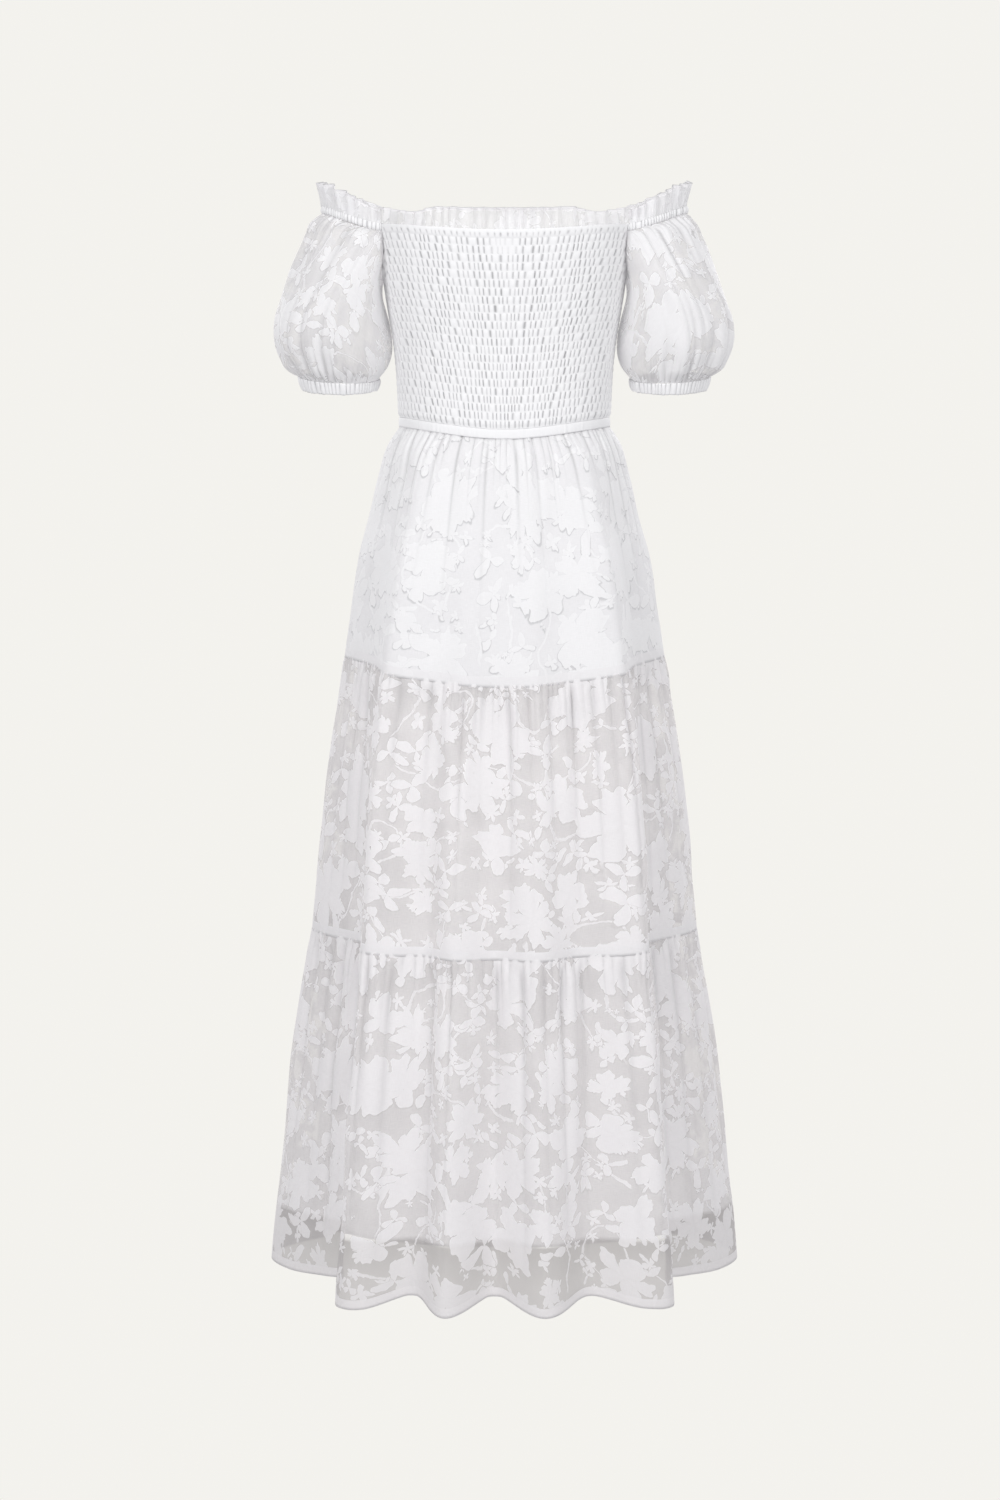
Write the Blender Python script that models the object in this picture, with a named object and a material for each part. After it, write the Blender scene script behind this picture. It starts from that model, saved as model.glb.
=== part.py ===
"""Tiered off-shoulder dress with a smocked back, kept in its worn form. Metres, +Z up.

The side seen first is the back of the garment, and it faces -Y. The origin is at the
middle of the top opening, level with the front neckline seam.
"""

from collections import namedtuple

import bmesh
import bpy
import numpy as np

# Cloth walls and the gap left at every seam
WALL = 0.0012
CASING_WALL = 0.0020
SEAM_GAP = 0.0004
SLEEVE_SEAM_GAP = 0.0004
SIDE_SEAM_GAP = 0.0002

# Bodice
ARMHOLE_HALF_DEPTH = 0.055
UNDERARM_Z = -0.062
BACK_CORNER_Z = -0.0122
BACK_NECK_DIP = 0.0120
FRONT_NECK_Z = 0.0
CASING_HEIGHT = 0.0070
SMOCK_COLUMNS = 60
SMOCK_ROWS = 24
SMOCK_RAISE = 0.0011
PLAIN_COLUMNS = 16
PLAIN_ROWS = 6

# Waistband
BAND_TOP_Z = -0.2156
BAND_HEIGHT = 0.0100
BAND_BACK_DIP = 0.0165
BAND_FRONT_DIP = 0.0060

# Skirt
TIER_1_SEAM_Z = -0.4767
TIER_1_BACK_DIP = 0.0268
TIER_1_FRONT_DIP = 0.0100
TIER_2_SEAM_Z = -0.7765
TIER_2_BACK_DIP = 0.0110
TIER_2_FRONT_DIP = 0.0060
HEM_Z = -1.1400
HEM_LOBE_DROP = 0.0150
SEAM_BAND = 0.0110
SEAM_BAND_RAISE = 0.0006
LINING_HEM_Z = -1.0950

# Neck frill
FRILL_HEIGHT = 0.0257
FRILL_LEAN = 0.0050
FRILL_WAVES = 44
FRILL_WAVE_DEPTH = 0.0042

# Sleeve
SLEEVE_COLUMNS = 32
SLEEVE_GATHER = 0.0022
CUFF_HEIGHT = 0.0110
BODICE_CLEARANCE = 0.0022

BodiceLevel = namedtuple("BodiceLevel", "drop half_width back_depth front_depth roundness")
BODICE = (
    BodiceLevel(-0.0200, 0.1420, 0.1160, 0.1180, 2.60),
    BodiceLevel(0.0000, 0.1395, 0.1150, 0.1200, 2.60),
    BodiceLevel(0.0650, 0.1302, 0.1080, 0.1260, 2.55),
    BodiceLevel(0.0950, 0.1256, 0.1040, 0.1210, 2.50),
    BodiceLevel(0.1400, 0.1184, 0.0985, 0.1090, 2.40),
    BodiceLevel(0.2156, 0.1138, 0.0950, 0.0990, 2.30),
    BodiceLevel(0.2600, 0.1130, 0.0950, 0.0990, 2.30),
)

# Radius of the cloth round the vertical axis, at the two tier seams and the hem
SkirtFold = namedtuple("SkirtFold", "angle tier_1_seam tier_2_seam hem")
SKIRT_FOLDS = (
    SkirtFold(-90.0, 0.1755, 0.2125, 0.2590),
    SkirtFold(-76.0, 0.1700, 0.2030, 0.2420),
    SkirtFold(-65.0, 0.1640, 0.1880, 0.2160),
    SkirtFold(-57.0, 0.1640, 0.1830, 0.2080),
    SkirtFold(-50.0, 0.1730, 0.1980, 0.2300),
    SkirtFold(-44.0, 0.1830, 0.2170, 0.2550),
    SkirtFold(-37.0, 0.1760, 0.2120, 0.2510),
    SkirtFold(-28.0, 0.1600, 0.1860, 0.2100),
    SkirtFold(-15.5, 0.1570, 0.1950, 0.2330),
    SkirtFold(-3.5, 0.1490, 0.1740, 0.1900),
    SkirtFold(10.0, 0.1560, 0.1950, 0.2310),
    SkirtFold(27.0, 0.1590, 0.1850, 0.2080),
    SkirtFold(37.0, 0.1760, 0.2110, 0.2480),
    SkirtFold(44.0, 0.1830, 0.2170, 0.2550),
    SkirtFold(50.0, 0.1730, 0.1980, 0.2300),
    SkirtFold(57.0, 0.1640, 0.1830, 0.2080),
    SkirtFold(65.0, 0.1640, 0.1880, 0.2160),
    SkirtFold(76.0, 0.1700, 0.2030, 0.2420),
    SkirtFold(90.0, 0.1755, 0.2125, 0.2590),
    SkirtFold(104.0, 0.1690, 0.2040, 0.2460),
    SkirtFold(117.0, 0.1620, 0.1850, 0.2140),
    SkirtFold(130.0, 0.1670, 0.2000, 0.2360),
    SkirtFold(143.0, 0.1610, 0.1850, 0.2120),
    SkirtFold(156.0, 0.1630, 0.1980, 0.2340),
    SkirtFold(169.0, 0.1560, 0.1790, 0.2020),
    SkirtFold(182.0, 0.1610, 0.1950, 0.2330),
    SkirtFold(195.0, 0.1560, 0.1790, 0.2040),
    SkirtFold(208.0, 0.1630, 0.1970, 0.2340),
    SkirtFold(221.0, 0.1610, 0.1850, 0.2120),
    SkirtFold(234.0, 0.1670, 0.2000, 0.2360),
    SkirtFold(246.0, 0.1620, 0.1850, 0.2160),
    SkirtFold(258.0, 0.1700, 0.2040, 0.2450),
)

# Half-width of the skirt's side outline
SideProfile = namedtuple("SideProfile", "drop half_width")
SIDE_PROFILE = (
    SideProfile(0.2256, 0.1132),
    SideProfile(0.2473, 0.1273),
    SideProfile(0.2854, 0.1405),
    SideProfile(0.3180, 0.1482),
    SideProfile(0.3628, 0.1600),
    SideProfile(0.4076, 0.1680),
    SideProfile(0.4405, 0.1717),
    SideProfile(0.4767, 0.1755),
    SideProfile(0.5162, 0.1832),
    SideProfile(0.5691, 0.1925),
    SideProfile(0.6198, 0.1998),
    SideProfile(0.6895, 0.2067),
    SideProfile(0.7483, 0.2106),
    SideProfile(0.7765, 0.2125),
    SideProfile(0.8352, 0.2245),
    SideProfile(0.8921, 0.2338),
    SideProfile(0.9492, 0.2408),
    SideProfile(1.0064, 0.2468),
    SideProfile(1.0784, 0.2546),
    SideProfile(1.1400, 0.2590),
)

LiningLevel = namedtuple("LiningLevel", "drop half_width back_depth front_depth roundness")
LINING = (
    LiningLevel(0.2260, 0.1119, 0.0934, 0.0974, 2.30),
    LiningLevel(0.2500, 0.1180, 0.0990, 0.1020, 2.25),
    LiningLevel(0.3200, 0.1350, 0.1140, 0.1160, 2.15),
    LiningLevel(0.4800, 0.1560, 0.1330, 0.1360, 2.10),
    LiningLevel(0.7800, 0.1860, 0.1500, 0.1530, 2.10),
    LiningLevel(1.0950, 0.2130, 0.1600, 0.1650, 2.10),
)

# One row is one ring of the sleeve, below the casing. "out" is away from the body's middle.
SleeveRing = namedtuple(
    "SleeveRing", "outer_out outer_z inner_out inner_z half_depth lift_out lift_z back_drop"
)
SLEEVE_RINGS = (
    SleeveRing(0.2120, -0.0160, 0.1370, -0.0680, 0.0640, -0.0340, 0.0160, 0.0),
    SleeveRing(0.2270, -0.0460, 0.1340, -0.0820, 0.0720, -0.0240, 0.0100, 0.001),
    SleeveRing(0.2405, -0.0790, 0.1290, -0.1000, 0.0770, -0.0120, 0.0040, 0.002),
    SleeveRing(0.2512, -0.1080, 0.1245, -0.1180, 0.0780, -0.0040, 0.0000, 0.004),
    SleeveRing(0.2505, -0.1360, 0.1222, -0.1400, 0.0750, 0.0000, 0.0000, 0.006),
    SleeveRing(0.2400, -0.1570, 0.1265, -0.1590, 0.0640, 0.0000, 0.0000, 0.008),
    SleeveRing(0.2235, -0.1695, 0.1375, -0.1735, 0.0490, 0.0000, 0.0000, 0.009),
)
SLEEVE_TOP_OUT = 0.1971
SLEEVE_TOP_Z = 0.0121
SLEEVE_TOP_INNER_OUT = 0.1350
SLEEVE_TOP_LIFT = -0.0375

Cuff = namedtuple("Cuff", "outer_out inner_out half_depth z back_drop")
CUFF_EDGE = Cuff(0.2195, 0.1396, 0.0455, -0.1828, 0.009)

# Share of a tier's height at each of its rings, from its top seam down
TIER_RINGS = (0.0, 0.055, 0.15, 0.30, 0.52, 0.78, 1.0)
LAST_TIER_RINGS = (0.0, 0.05, 0.14, 0.30, 0.52, 0.77, 1.0)

Tier = namedtuple("Tier", "name top bottom gathers gather_depth rings")
TIERS = (
    Tier("tier_1", 0, 1, 36, 0.0052, TIER_RINGS),
    Tier("tier_2", 1, 2, 40, 0.0056, TIER_RINGS),
    Tier("tier_3", 2, 3, 48, 0.0056, LAST_TIER_RINGS),
)

Finish = namedtuple("Finish", "red green blue roughness")
ORGANZA = Finish(0.86, 0.86, 0.87, 0.72)
SMOCKED = Finish(0.92, 0.92, 0.93, 0.80)
SOLID_TRIM = Finish(0.93, 0.93, 0.94, 0.78)
SLIP = Finish(0.88, 0.87, 0.86, 0.65)


def column(rows, name):
    """One named column of a table, as an array."""
    return np.array([getattr(row, name) for row in rows])


def smooth(at, known, values):
    """Values between the rows of a table, on a smooth curve through them."""
    slopes = np.gradient(values, known)
    at = np.clip(at, known[0], known[-1])
    left = np.clip(np.searchsorted(known, at) - 1, 0, len(known) - 2)
    span = known[left + 1] - known[left]
    t = (at - known[left]) / span
    start = (2 * t**3 - 3 * t**2 + 1) * values[left] + (t**3 - 2 * t**2 + t) * span * slopes[left]
    end = (3 * t**2 - 2 * t**3) * values[left + 1] + (t**3 - t**2) * span * slopes[left + 1]
    return start + end


def fold_radius(name, angle):
    """Radius of the skirt at one seam or the hem, for angles in degrees from the back."""
    known = column(SKIRT_FOLDS, "angle")
    values = column(SKIRT_FOLDS, name)
    known = np.concatenate([known - 360.0, known, known + 360.0])
    return smooth(angle, known, np.tile(values, 3))


def section_point(level_values, turn):
    """Points of a rounded section. Turn is in degrees from the back, towards +X."""
    half_width, back_depth, front_depth, roundness = level_values
    sine = np.sin(np.radians(turn))
    cosine = np.cos(np.radians(turn))
    depth = np.where(cosine >= 0.0, back_depth, front_depth)
    x = half_width * np.sign(sine) * np.abs(sine) ** (2.0 / roundness)
    y = -depth * np.sign(cosine) * np.abs(cosine) ** (2.0 / roundness)
    return x, y


def bodice_level(z):
    """Half-width, back depth, front depth and roundness of the bodice at a height."""
    drops = column(BODICE, "drop")
    return tuple(smooth(-z, drops, column(BODICE, name)) for name in BodiceLevel._fields[1:])


def bodice_out(y, z):
    """How far the bodice reaches sideways at a depth and a height."""
    half_width, back_depth, front_depth, roundness = bodice_level(z)
    depth = np.where(y <= 0.0, back_depth, front_depth)
    rest = np.clip(1.0 - np.abs(y / depth) ** roundness, 0.0, 1.0)
    return half_width * rest ** (1.0 / roundness)


def clear_of_bodice(out, y, z, clearance):
    """Moves points outwards until they clear the bodice."""
    return np.maximum(out, bodice_out(y, z) + clearance)


def dipped(base, back_dip, front_dip, turn):
    """A seam's height, lower at the middle of the back and of the front."""
    cosine = np.cos(np.radians(turn))
    dip = np.where(cosine >= 0.0, back_dip, front_dip)
    return base - dip * cosine**2


def waist_angles(turn):
    """Angles seen from the vertical axis of the waist section's points."""
    x, y = section_point(bodice_level(np.full_like(turn, BAND_TOP_Z)), turn)
    return np.degrees(np.arctan2(x, -y))


def neck_edge(turn, back):
    """Height of a bodice panel's top edge, without its armholes, and the armholes' depth."""
    x, y = section_point(bodice_level(np.zeros_like(turn)), turn)
    corner_out = bodice_out(np.array(ARMHOLE_HALF_DEPTH), np.array(0.0))
    if back:
        base = BACK_CORNER_Z - BACK_NECK_DIP * np.clip(1.0 - (x / corner_out) ** 2, 0.0, 1.0)
    else:
        base = np.full_like(turn, FRONT_NECK_Z - CASING_HEIGHT - SEAM_GAP)
    inside = np.clip(1.0 - (y / ARMHOLE_HALF_DEPTH) ** 2, 0.0, 1.0)
    corner = BACK_CORNER_Z if back else FRONT_NECK_Z - CASING_HEIGHT
    return base, inside * (corner - UNDERARM_Z)


def bodice_grid(turns, shares, back):
    """Points of a bodice panel, from its top edge down to the waistband."""
    top, armhole = neck_edge(turns, back)
    bottom = dipped(BAND_TOP_Z, BAND_BACK_DIP, BAND_FRONT_DIP, waist_angles(turns)) + SEAM_GAP
    rows = []
    for share in shares:
        z = top + (bottom - top) * share - armhole * (1.0 - share) ** 2
        x, y = section_point(bodice_level(z), turns)
        rows.append(np.stack([x, y, z], axis=-1))
    return np.array(rows)


def flat_normals(grid):
    """Outward directions in plan, for rings that run anticlockwise seen from above."""
    tangent = np.gradient(grid, axis=1)
    normal = np.stack([tangent[..., 1], -tangent[..., 0], np.zeros(grid.shape[:2])], axis=-1)
    return normal / np.linalg.norm(normal, axis=-1, keepdims=True)


def half_normals(grid):
    """Outward directions in plan for a half of the garment, straight sideways at its seams."""
    normal = flat_normals(grid)
    for edge in (0, -1):
        normal[:, edge] = (np.sign(grid[0, edge, 0]), 0.0, 0.0)
    return normal


def surface_normals(grid):
    """Directions square to a closed tube's surface, away from its middle."""
    along = np.gradient(grid, axis=0)
    around = np.roll(grid, -1, axis=1) - np.roll(grid, 1, axis=1)
    normal = np.cross(around, along)
    normal /= np.linalg.norm(normal, axis=-1, keepdims=True)
    middle = grid.mean(axis=1, keepdims=True)
    inwards = np.sum(normal * (grid - middle), axis=-1).mean() < 0.0
    normal = -normal if inwards else normal
    for rim in (0, -1):
        normal[rim, :, 2] = 0.0
        normal[rim] /= np.linalg.norm(normal[rim], axis=-1, keepdims=True)
    return normal


def add_sheet(mesh, points):
    """A grid with its points moved to the given ones. Returns its points by row and column."""
    rows, columns = points.shape[:2]
    made = bmesh.ops.create_grid(mesh, x_segments=columns - 1, y_segments=rows - 1, size=0.5)
    placed = {}
    for vert in made["verts"]:
        place = (round((vert.co.y + 0.5) * (rows - 1)), round((vert.co.x + 0.5) * (columns - 1)))
        placed[place] = vert
    for (row, across), vert in placed.items():
        vert.co = points[row, across]
    return placed


def side_lines(placed, rows, columns):
    """The sheet's border as four lines of points, in one direction round."""
    top = [placed[0, k] for k in range(columns)]
    right = [placed[k, columns - 1] for k in range(rows)]
    bottom = [placed[rows - 1, k] for k in reversed(range(columns))]
    left = [placed[k, 0] for k in reversed(range(rows))]
    return top, right, bottom, left


def join_lines(mesh, first, second):
    """Faces between two lines of points that start and end together and may differ in number."""
    i = 0
    j = 0
    while i < len(first) - 1 or j < len(second) - 1:
        next_first = (i + 1) / (len(first) - 1)
        next_second = (j + 1) / (len(second) - 1)
        if i < len(first) - 1 and j < len(second) - 1 and abs(next_first - next_second) < 1e-9:
            mesh.faces.new((first[i], first[i + 1], second[j + 1], second[j]))
            i += 1
            j += 1
        elif next_first < next_second:
            mesh.faces.new((first[i], first[i + 1], second[j]))
            i += 1
        else:
            mesh.faces.new((first[i], second[j + 1], second[j]))
            j += 1


def finish_object(name, mesh, finish, collection):
    """Turns the faces outwards and stores the mesh as an object with its own material."""
    bmesh.ops.recalc_face_normals(mesh, faces=mesh.faces)
    data = bpy.data.meshes.new(name)
    mesh.to_mesh(data)
    mesh.free()
    material = bpy.data.materials.new(name)
    material.use_nodes = True
    shader = material.node_tree.nodes["Principled BSDF"]
    shader.inputs["Base Color"].default_value = (finish.red, finish.green, finish.blue, 1.0)
    shader.inputs["Roughness"].default_value = finish.roughness
    data.materials.append(material)
    piece = bpy.data.objects.new(name, data)
    collection.objects.link(piece)
    return piece


def panel(name, outer, inner, finish, collection):
    """A closed wall between two sheets that have the same four corners."""
    mesh = bmesh.new()
    borders = []
    for points in (outer, inner):
        placed = add_sheet(mesh, points)
        borders.append(side_lines(placed, *points.shape[:2]))
    for outer_line, inner_line in zip(*borders):
        join_lines(mesh, outer_line, inner_line)
    return finish_object(name, mesh, finish, collection)


def tube(name, outer, inner, finish, collection):
    """A closed wall between two sheets whose first and last columns meet."""
    mesh = bmesh.new()
    rims = []
    for points in (outer, inner):
        around = np.concatenate([points, points[:, :1]], axis=1)
        placed = add_sheet(mesh, around)
        rows, columns = around.shape[:2]
        rims.append([[placed[row, k] for k in range(columns)] for row in (0, rows - 1)])
    for outer_rim, inner_rim in zip(*rims):
        join_lines(mesh, outer_rim, inner_rim)
    bmesh.ops.remove_doubles(mesh, verts=mesh.verts, dist=1e-7)
    return finish_object(name, mesh, finish, collection)


def walled_panel(name, grid, wall, finish, collection, raised=None, side_seams=True):
    """A panel with its wall set out in plan on both sides of the grid."""
    normals = half_normals(grid) if side_seams else flat_normals(grid)
    if side_seams:
        grid = open_side_seams(grid)
    outer = grid + normals * wall / 2.0
    if raised is not None:
        outer = outer + normals * raised[:, None, None]
    inner = grid - normals * wall / 2.0
    return panel(name, outer, inner, finish, collection)


def half_turns(columns, back):
    """Even steps round one half of the garment, short of the side seams."""
    start = -90.0 if back else 90.0
    return np.linspace(start, start + 180.0, columns + 1)


def open_side_seams(grid):
    """Draws a half's two side edges away from the other half's by half a seam gap each."""
    inwards = -1.0 if grid[:, :, 1].mean() < 0.0 else 1.0
    grid = grid.copy()
    grid[:, 0, 1] += inwards * SIDE_SEAM_GAP
    grid[:, -1, 1] += inwards * SIDE_SEAM_GAP
    return grid


def make_bodice(collection):
    """The smocked back, raised on its outer side over a plain inside, and the plain front."""
    turns = half_turns(SMOCK_COLUMNS, back=True)
    grid = bodice_grid(turns, np.linspace(0.0, 1.0, SMOCK_ROWS + 1), back=True)
    normals = half_normals(grid)
    grid = open_side_seams(grid)
    rows = np.arange(SMOCK_ROWS + 1)[:, None]
    columns = np.arange(SMOCK_COLUMNS + 1)[None, :]
    raised = np.where((rows + columns) % 2 == 0, SMOCK_RAISE, 0.0)
    raised = raised * np.clip((75.0 - np.abs(turns)) / 12.0, 0.0, 1.0)[None, :]
    raised[0] = 0.0
    raised[-1] = 0.0
    outer = grid + normals * (WALL / 2.0 + raised[..., None])
    plain_turns = half_turns(PLAIN_COLUMNS, back=True)
    plain = bodice_grid(plain_turns, np.linspace(0.0, 1.0, PLAIN_ROWS + 1), back=True)
    inner = open_side_seams(plain) - half_normals(plain) * WALL / 2.0
    panel("bodice_back", outer, inner, SMOCKED, collection)

    front = bodice_grid(half_turns(20, back=False), np.linspace(0.0, 1.0, 7), back=False)
    walled_panel("bodice_front", front, WALL, ORGANZA, collection)


def make_waistband(collection):
    """The plain band between bodice and skirt, in a back and a front piece."""
    for name, back in (("waistband_back", True), ("waistband_front", False)):
        turns = half_turns(20, back)
        top = dipped(BAND_TOP_Z, BAND_BACK_DIP, BAND_FRONT_DIP, waist_angles(turns))
        rows = []
        for z in (top, top - BAND_HEIGHT):
            x, y = section_point(bodice_level(z), turns)
            rows.append(np.stack([x, y, z], axis=-1))
        walled_panel(name, np.array(rows), CASING_WALL, SOLID_TRIM, collection)


def sleeve_top_arc(angle):
    """The neckline over an arm. The angle is 0 at the arm's outside and -90 at the back corner."""
    cosine = np.cos(np.radians(angle))
    sine = np.sin(np.radians(angle))
    half_span = (SLEEVE_TOP_OUT - SLEEVE_TOP_INNER_OUT) / 2.0
    out = SLEEVE_TOP_OUT - half_span + half_span * cosine + SLEEVE_TOP_LIFT * sine**2
    y = ARMHOLE_HALF_DEPTH * sine
    corner = np.where(sine < 0.0, BACK_CORNER_Z, FRONT_NECK_Z)
    z = SLEEVE_TOP_Z * cosine**2 + corner * sine**2
    return clear_of_bodice(out, y, z, BODICE_CLEARANCE), y, z


def neck_path(count):
    """The line where casing and frill meet, from the left back corner by the front to the right."""
    dense = np.linspace(-90.0, 90.0, 91)
    out, y, z = sleeve_top_arc(dense)
    left = np.stack([-out, y, z], axis=-1)
    right = np.stack([out, y, z], axis=-1)[::-1]
    turns = np.linspace(270.0, 90.0, 361)
    front_x, front_y = section_point(bodice_level(np.zeros_like(turns)), turns)
    front = np.stack([front_x, front_y, np.full_like(front_x, FRONT_NECK_Z)], axis=-1)
    front = front[front_y > ARMHOLE_HALF_DEPTH + 0.001]
    line = np.concatenate([left, front, right])
    steps = np.linalg.norm(np.diff(line, axis=0), axis=1)
    walked = np.concatenate([[0.0], np.cumsum(steps)])
    wanted = np.linspace(0.0, walked[-1], count)
    return np.stack([np.interp(wanted, walked, line[:, k]) for k in range(3)], axis=-1)


def make_neck(collection):
    """The elastic casing and the gathered frill that stands on it."""
    path = neck_path(53)[::-1]
    lower = path - np.array([0.0, 0.0, CASING_HEIGHT])
    rows = np.array([path, lower])
    walled_panel("neck_casing", rows, CASING_WALL, SOLID_TRIM, collection, side_seams=False)

    count = 2 * FRILL_WAVES + 1
    path = neck_path(count)[::-1]
    normals = flat_normals(path[None])[0]
    waves = np.where(np.arange(count) % 2 == 0, 1.0, -1.0)[:, None]
    over_arm = np.clip((np.abs(path[:, :1]) - 0.13) / 0.06, 0.0, 1.0)
    rows = []
    for share in (0.0, 0.45, 1.0):
        depth = FRILL_WAVE_DEPTH * (0.25 + 0.75 * share)
        lean = FRILL_LEAN * share * over_arm
        row = path + normals * (waves * depth / 2.0 + lean)
        row[:, 2] += SEAM_GAP + (FRILL_HEIGHT - SEAM_GAP) * share
        rows.append(row)
    walled_panel("neck_frill", np.array(rows), WALL, ORGANZA, collection, side_seams=False)


def sleeve_ring(ring, angles):
    """One ring of the sleeve below its top, as outward distance, depth and height."""
    cosine = np.cos(np.radians(angles))
    sine = np.sin(np.radians(angles))
    middle = (ring.outer_out + ring.inner_out) / 2.0
    reach = (ring.outer_out - ring.inner_out) / 2.0
    out = middle + reach * cosine + ring.lift_out * sine**2
    y = ring.half_depth * sine
    middle_z = (ring.outer_z + ring.inner_z) / 2.0
    rise = (ring.outer_z - ring.inner_z) / 2.0
    z = middle_z + rise * cosine + ring.lift_z * sine**2 + ring.back_drop * sine
    return clear_of_bodice(out, y, z, BODICE_CLEARANCE), y, z


def sleeve_first_ring(angles):
    """The sleeve's top edge: under the casing over the arm, and along the armhole below it."""
    out, y, z = sleeve_top_arc(angles)
    z = z - CASING_HEIGHT - SLEEVE_SEAM_GAP
    cosine = np.cos(np.radians(angles))
    corner = np.where(angles < 0.0, BACK_CORNER_Z, FRONT_NECK_Z) - CASING_HEIGHT - SLEEVE_SEAM_GAP
    armhole_z = corner + (UNDERARM_Z - 0.001 - corner) * cosine**2
    armhole_out = bodice_out(y, armhole_z) + BODICE_CLEARANCE
    under = cosine < -1e-9
    return np.where(under, armhole_out, out), y, np.where(under, armhole_z, z)


def make_sleeve(name, side, collection):
    """A puffed sleeve, gathered on the casing and into its cuff, and the cuff."""
    angles = np.linspace(-180.0, 180.0, SLEEVE_COLUMNS + 1)[:-1]
    rings = [sleeve_first_ring(angles)]
    rings += [sleeve_ring(ring, angles) for ring in SLEEVE_RINGS]
    grid = np.array([np.stack([side * out, y, z], axis=-1) for out, y, z in rings])
    normals = surface_normals(grid)
    last = len(grid) - 1
    waves = np.where(np.arange(SLEEVE_COLUMNS) % 2 == 0, 1.0, 0.0)
    over_arm = np.clip(np.cos(np.radians(angles)) * 2.0, 0.0, 1.0)
    for row, strength in ((0, 0.35), (1, 1.0), (2, 0.5), (last - 1, 0.8), (last, 0.3)):
        reach = over_arm if row < 3 else np.clip(np.cos(np.radians(angles)) + 1.0, 0.0, 1.0)
        grid[row] += normals[row] * (SLEEVE_GATHER * strength * waves * reach)[:, None]
    outer = grid + normals * WALL / 2.0
    inner = grid - normals * WALL / 2.0
    tube(f"sleeve_{name}", outer, inner, ORGANZA, collection)

    top = SLEEVE_RINGS[-1]
    lowest = SleeveRing(
        CUFF_EDGE.outer_out,
        CUFF_EDGE.z,
        CUFF_EDGE.inner_out,
        CUFF_EDGE.z - 0.001,
        CUFF_EDGE.half_depth,
        0.0,
        0.0,
        CUFF_EDGE.back_drop,
    )
    rows = []
    for ring in (top, lowest):
        out, y, z = sleeve_ring(ring, angles)
        rows.append(np.stack([side * out, y, z], axis=-1))
    rows = np.array(rows)
    rows[0, :, 2] -= SLEEVE_SEAM_GAP
    normals = surface_normals(rows)
    outer = rows + normals * CASING_WALL / 2.0
    inner = rows - normals * CASING_WALL / 2.0
    tube(f"cuff_{name}", outer, inner, SOLID_TRIM, collection)


def seam_height(seam, angle):
    """Height of the waist seam, a tier seam or the hem, for angles in degrees from the back."""
    if seam == 0:
        return dipped(BAND_TOP_Z - BAND_HEIGHT, BAND_BACK_DIP, BAND_FRONT_DIP, angle)
    if seam == 1:
        return dipped(TIER_1_SEAM_Z, TIER_1_BACK_DIP, TIER_1_FRONT_DIP, angle)
    if seam == 2:
        return dipped(TIER_2_SEAM_Z, TIER_2_BACK_DIP, TIER_2_FRONT_DIP, angle)
    radius = fold_radius("hem", angle)
    around = fold_radius("hem", np.clip(angle, -90.0, 270.0)[:, None] + np.linspace(-13, 13, 9))
    out = np.clip((radius - around.mean(axis=1)) / 0.02, -1.0, 1.0)
    near = np.clip(np.cos(np.radians(angle)), 0.0, 1.0)
    return HEM_Z - HEM_LOBE_DROP * (0.5 + 0.5 * out) * (0.3 + 0.7 * near)


def waist_radius(angle):
    """Radius of the waist seam at an angle in degrees from the back."""
    turns = np.linspace(-180.0, 360.0, 2161)
    level = bodice_level(np.full_like(turns, BAND_TOP_Z - BAND_HEIGHT))
    x, y = section_point(level, turns)
    known = np.degrees(np.unwrap(np.arctan2(x, -y)))
    return np.interp(angle, known, np.hypot(x, y))


def level_radius(seam, angle):
    """Radius at the waist, a tier seam or the hem."""
    if seam == 0:
        return waist_radius(angle)
    return fold_radius(("tier_1_seam", "tier_2_seam", "hem")[seam - 1], angle)


def gather_share(share):
    """How strong the gathers are, from a tier's top seam down."""
    return np.interp(share, [0.0, 0.055, 0.15, 0.52, 0.80], [0.35, 1.0, 0.85, 0.25, 0.0])


def tier_grid(tier, angles, shares, waves):
    """Points of a tier, its side outline following the profile table."""
    seam_drops = (-BAND_TOP_Z + BAND_HEIGHT, -TIER_1_SEAM_Z, -TIER_2_SEAM_Z, -HEM_Z)
    drops = column(SIDE_PROFILE, "drop")
    widths = column(SIDE_PROFILE, "half_width")
    top_drop = seam_drops[tier.top]
    bottom_drop = seam_drops[tier.bottom]
    top_width, bottom_width = smooth(np.array([top_drop, bottom_drop]), drops, widths)
    top_radius = level_radius(tier.top, angles)
    bottom_radius = level_radius(tier.bottom, angles)
    top_z = seam_height(tier.top, angles) - SEAM_GAP
    bottom_z = seam_height(tier.bottom, angles)
    rows = []
    for share in shares:
        drop = top_drop + (bottom_drop - top_drop) * share
        width = smooth(np.array(drop), drops, widths)
        blend = (width - top_width) / (bottom_width - top_width)
        radius = top_radius + (bottom_radius - top_radius) * blend
        radius = radius + tier.gather_depth * gather_share(share) * waves
        z = top_z + (bottom_z - top_z) * share
        turn = np.radians(angles)
        rows.append(np.stack([radius * np.sin(turn), -radius * np.cos(turn), z], axis=-1))
    return np.array(rows)


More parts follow.
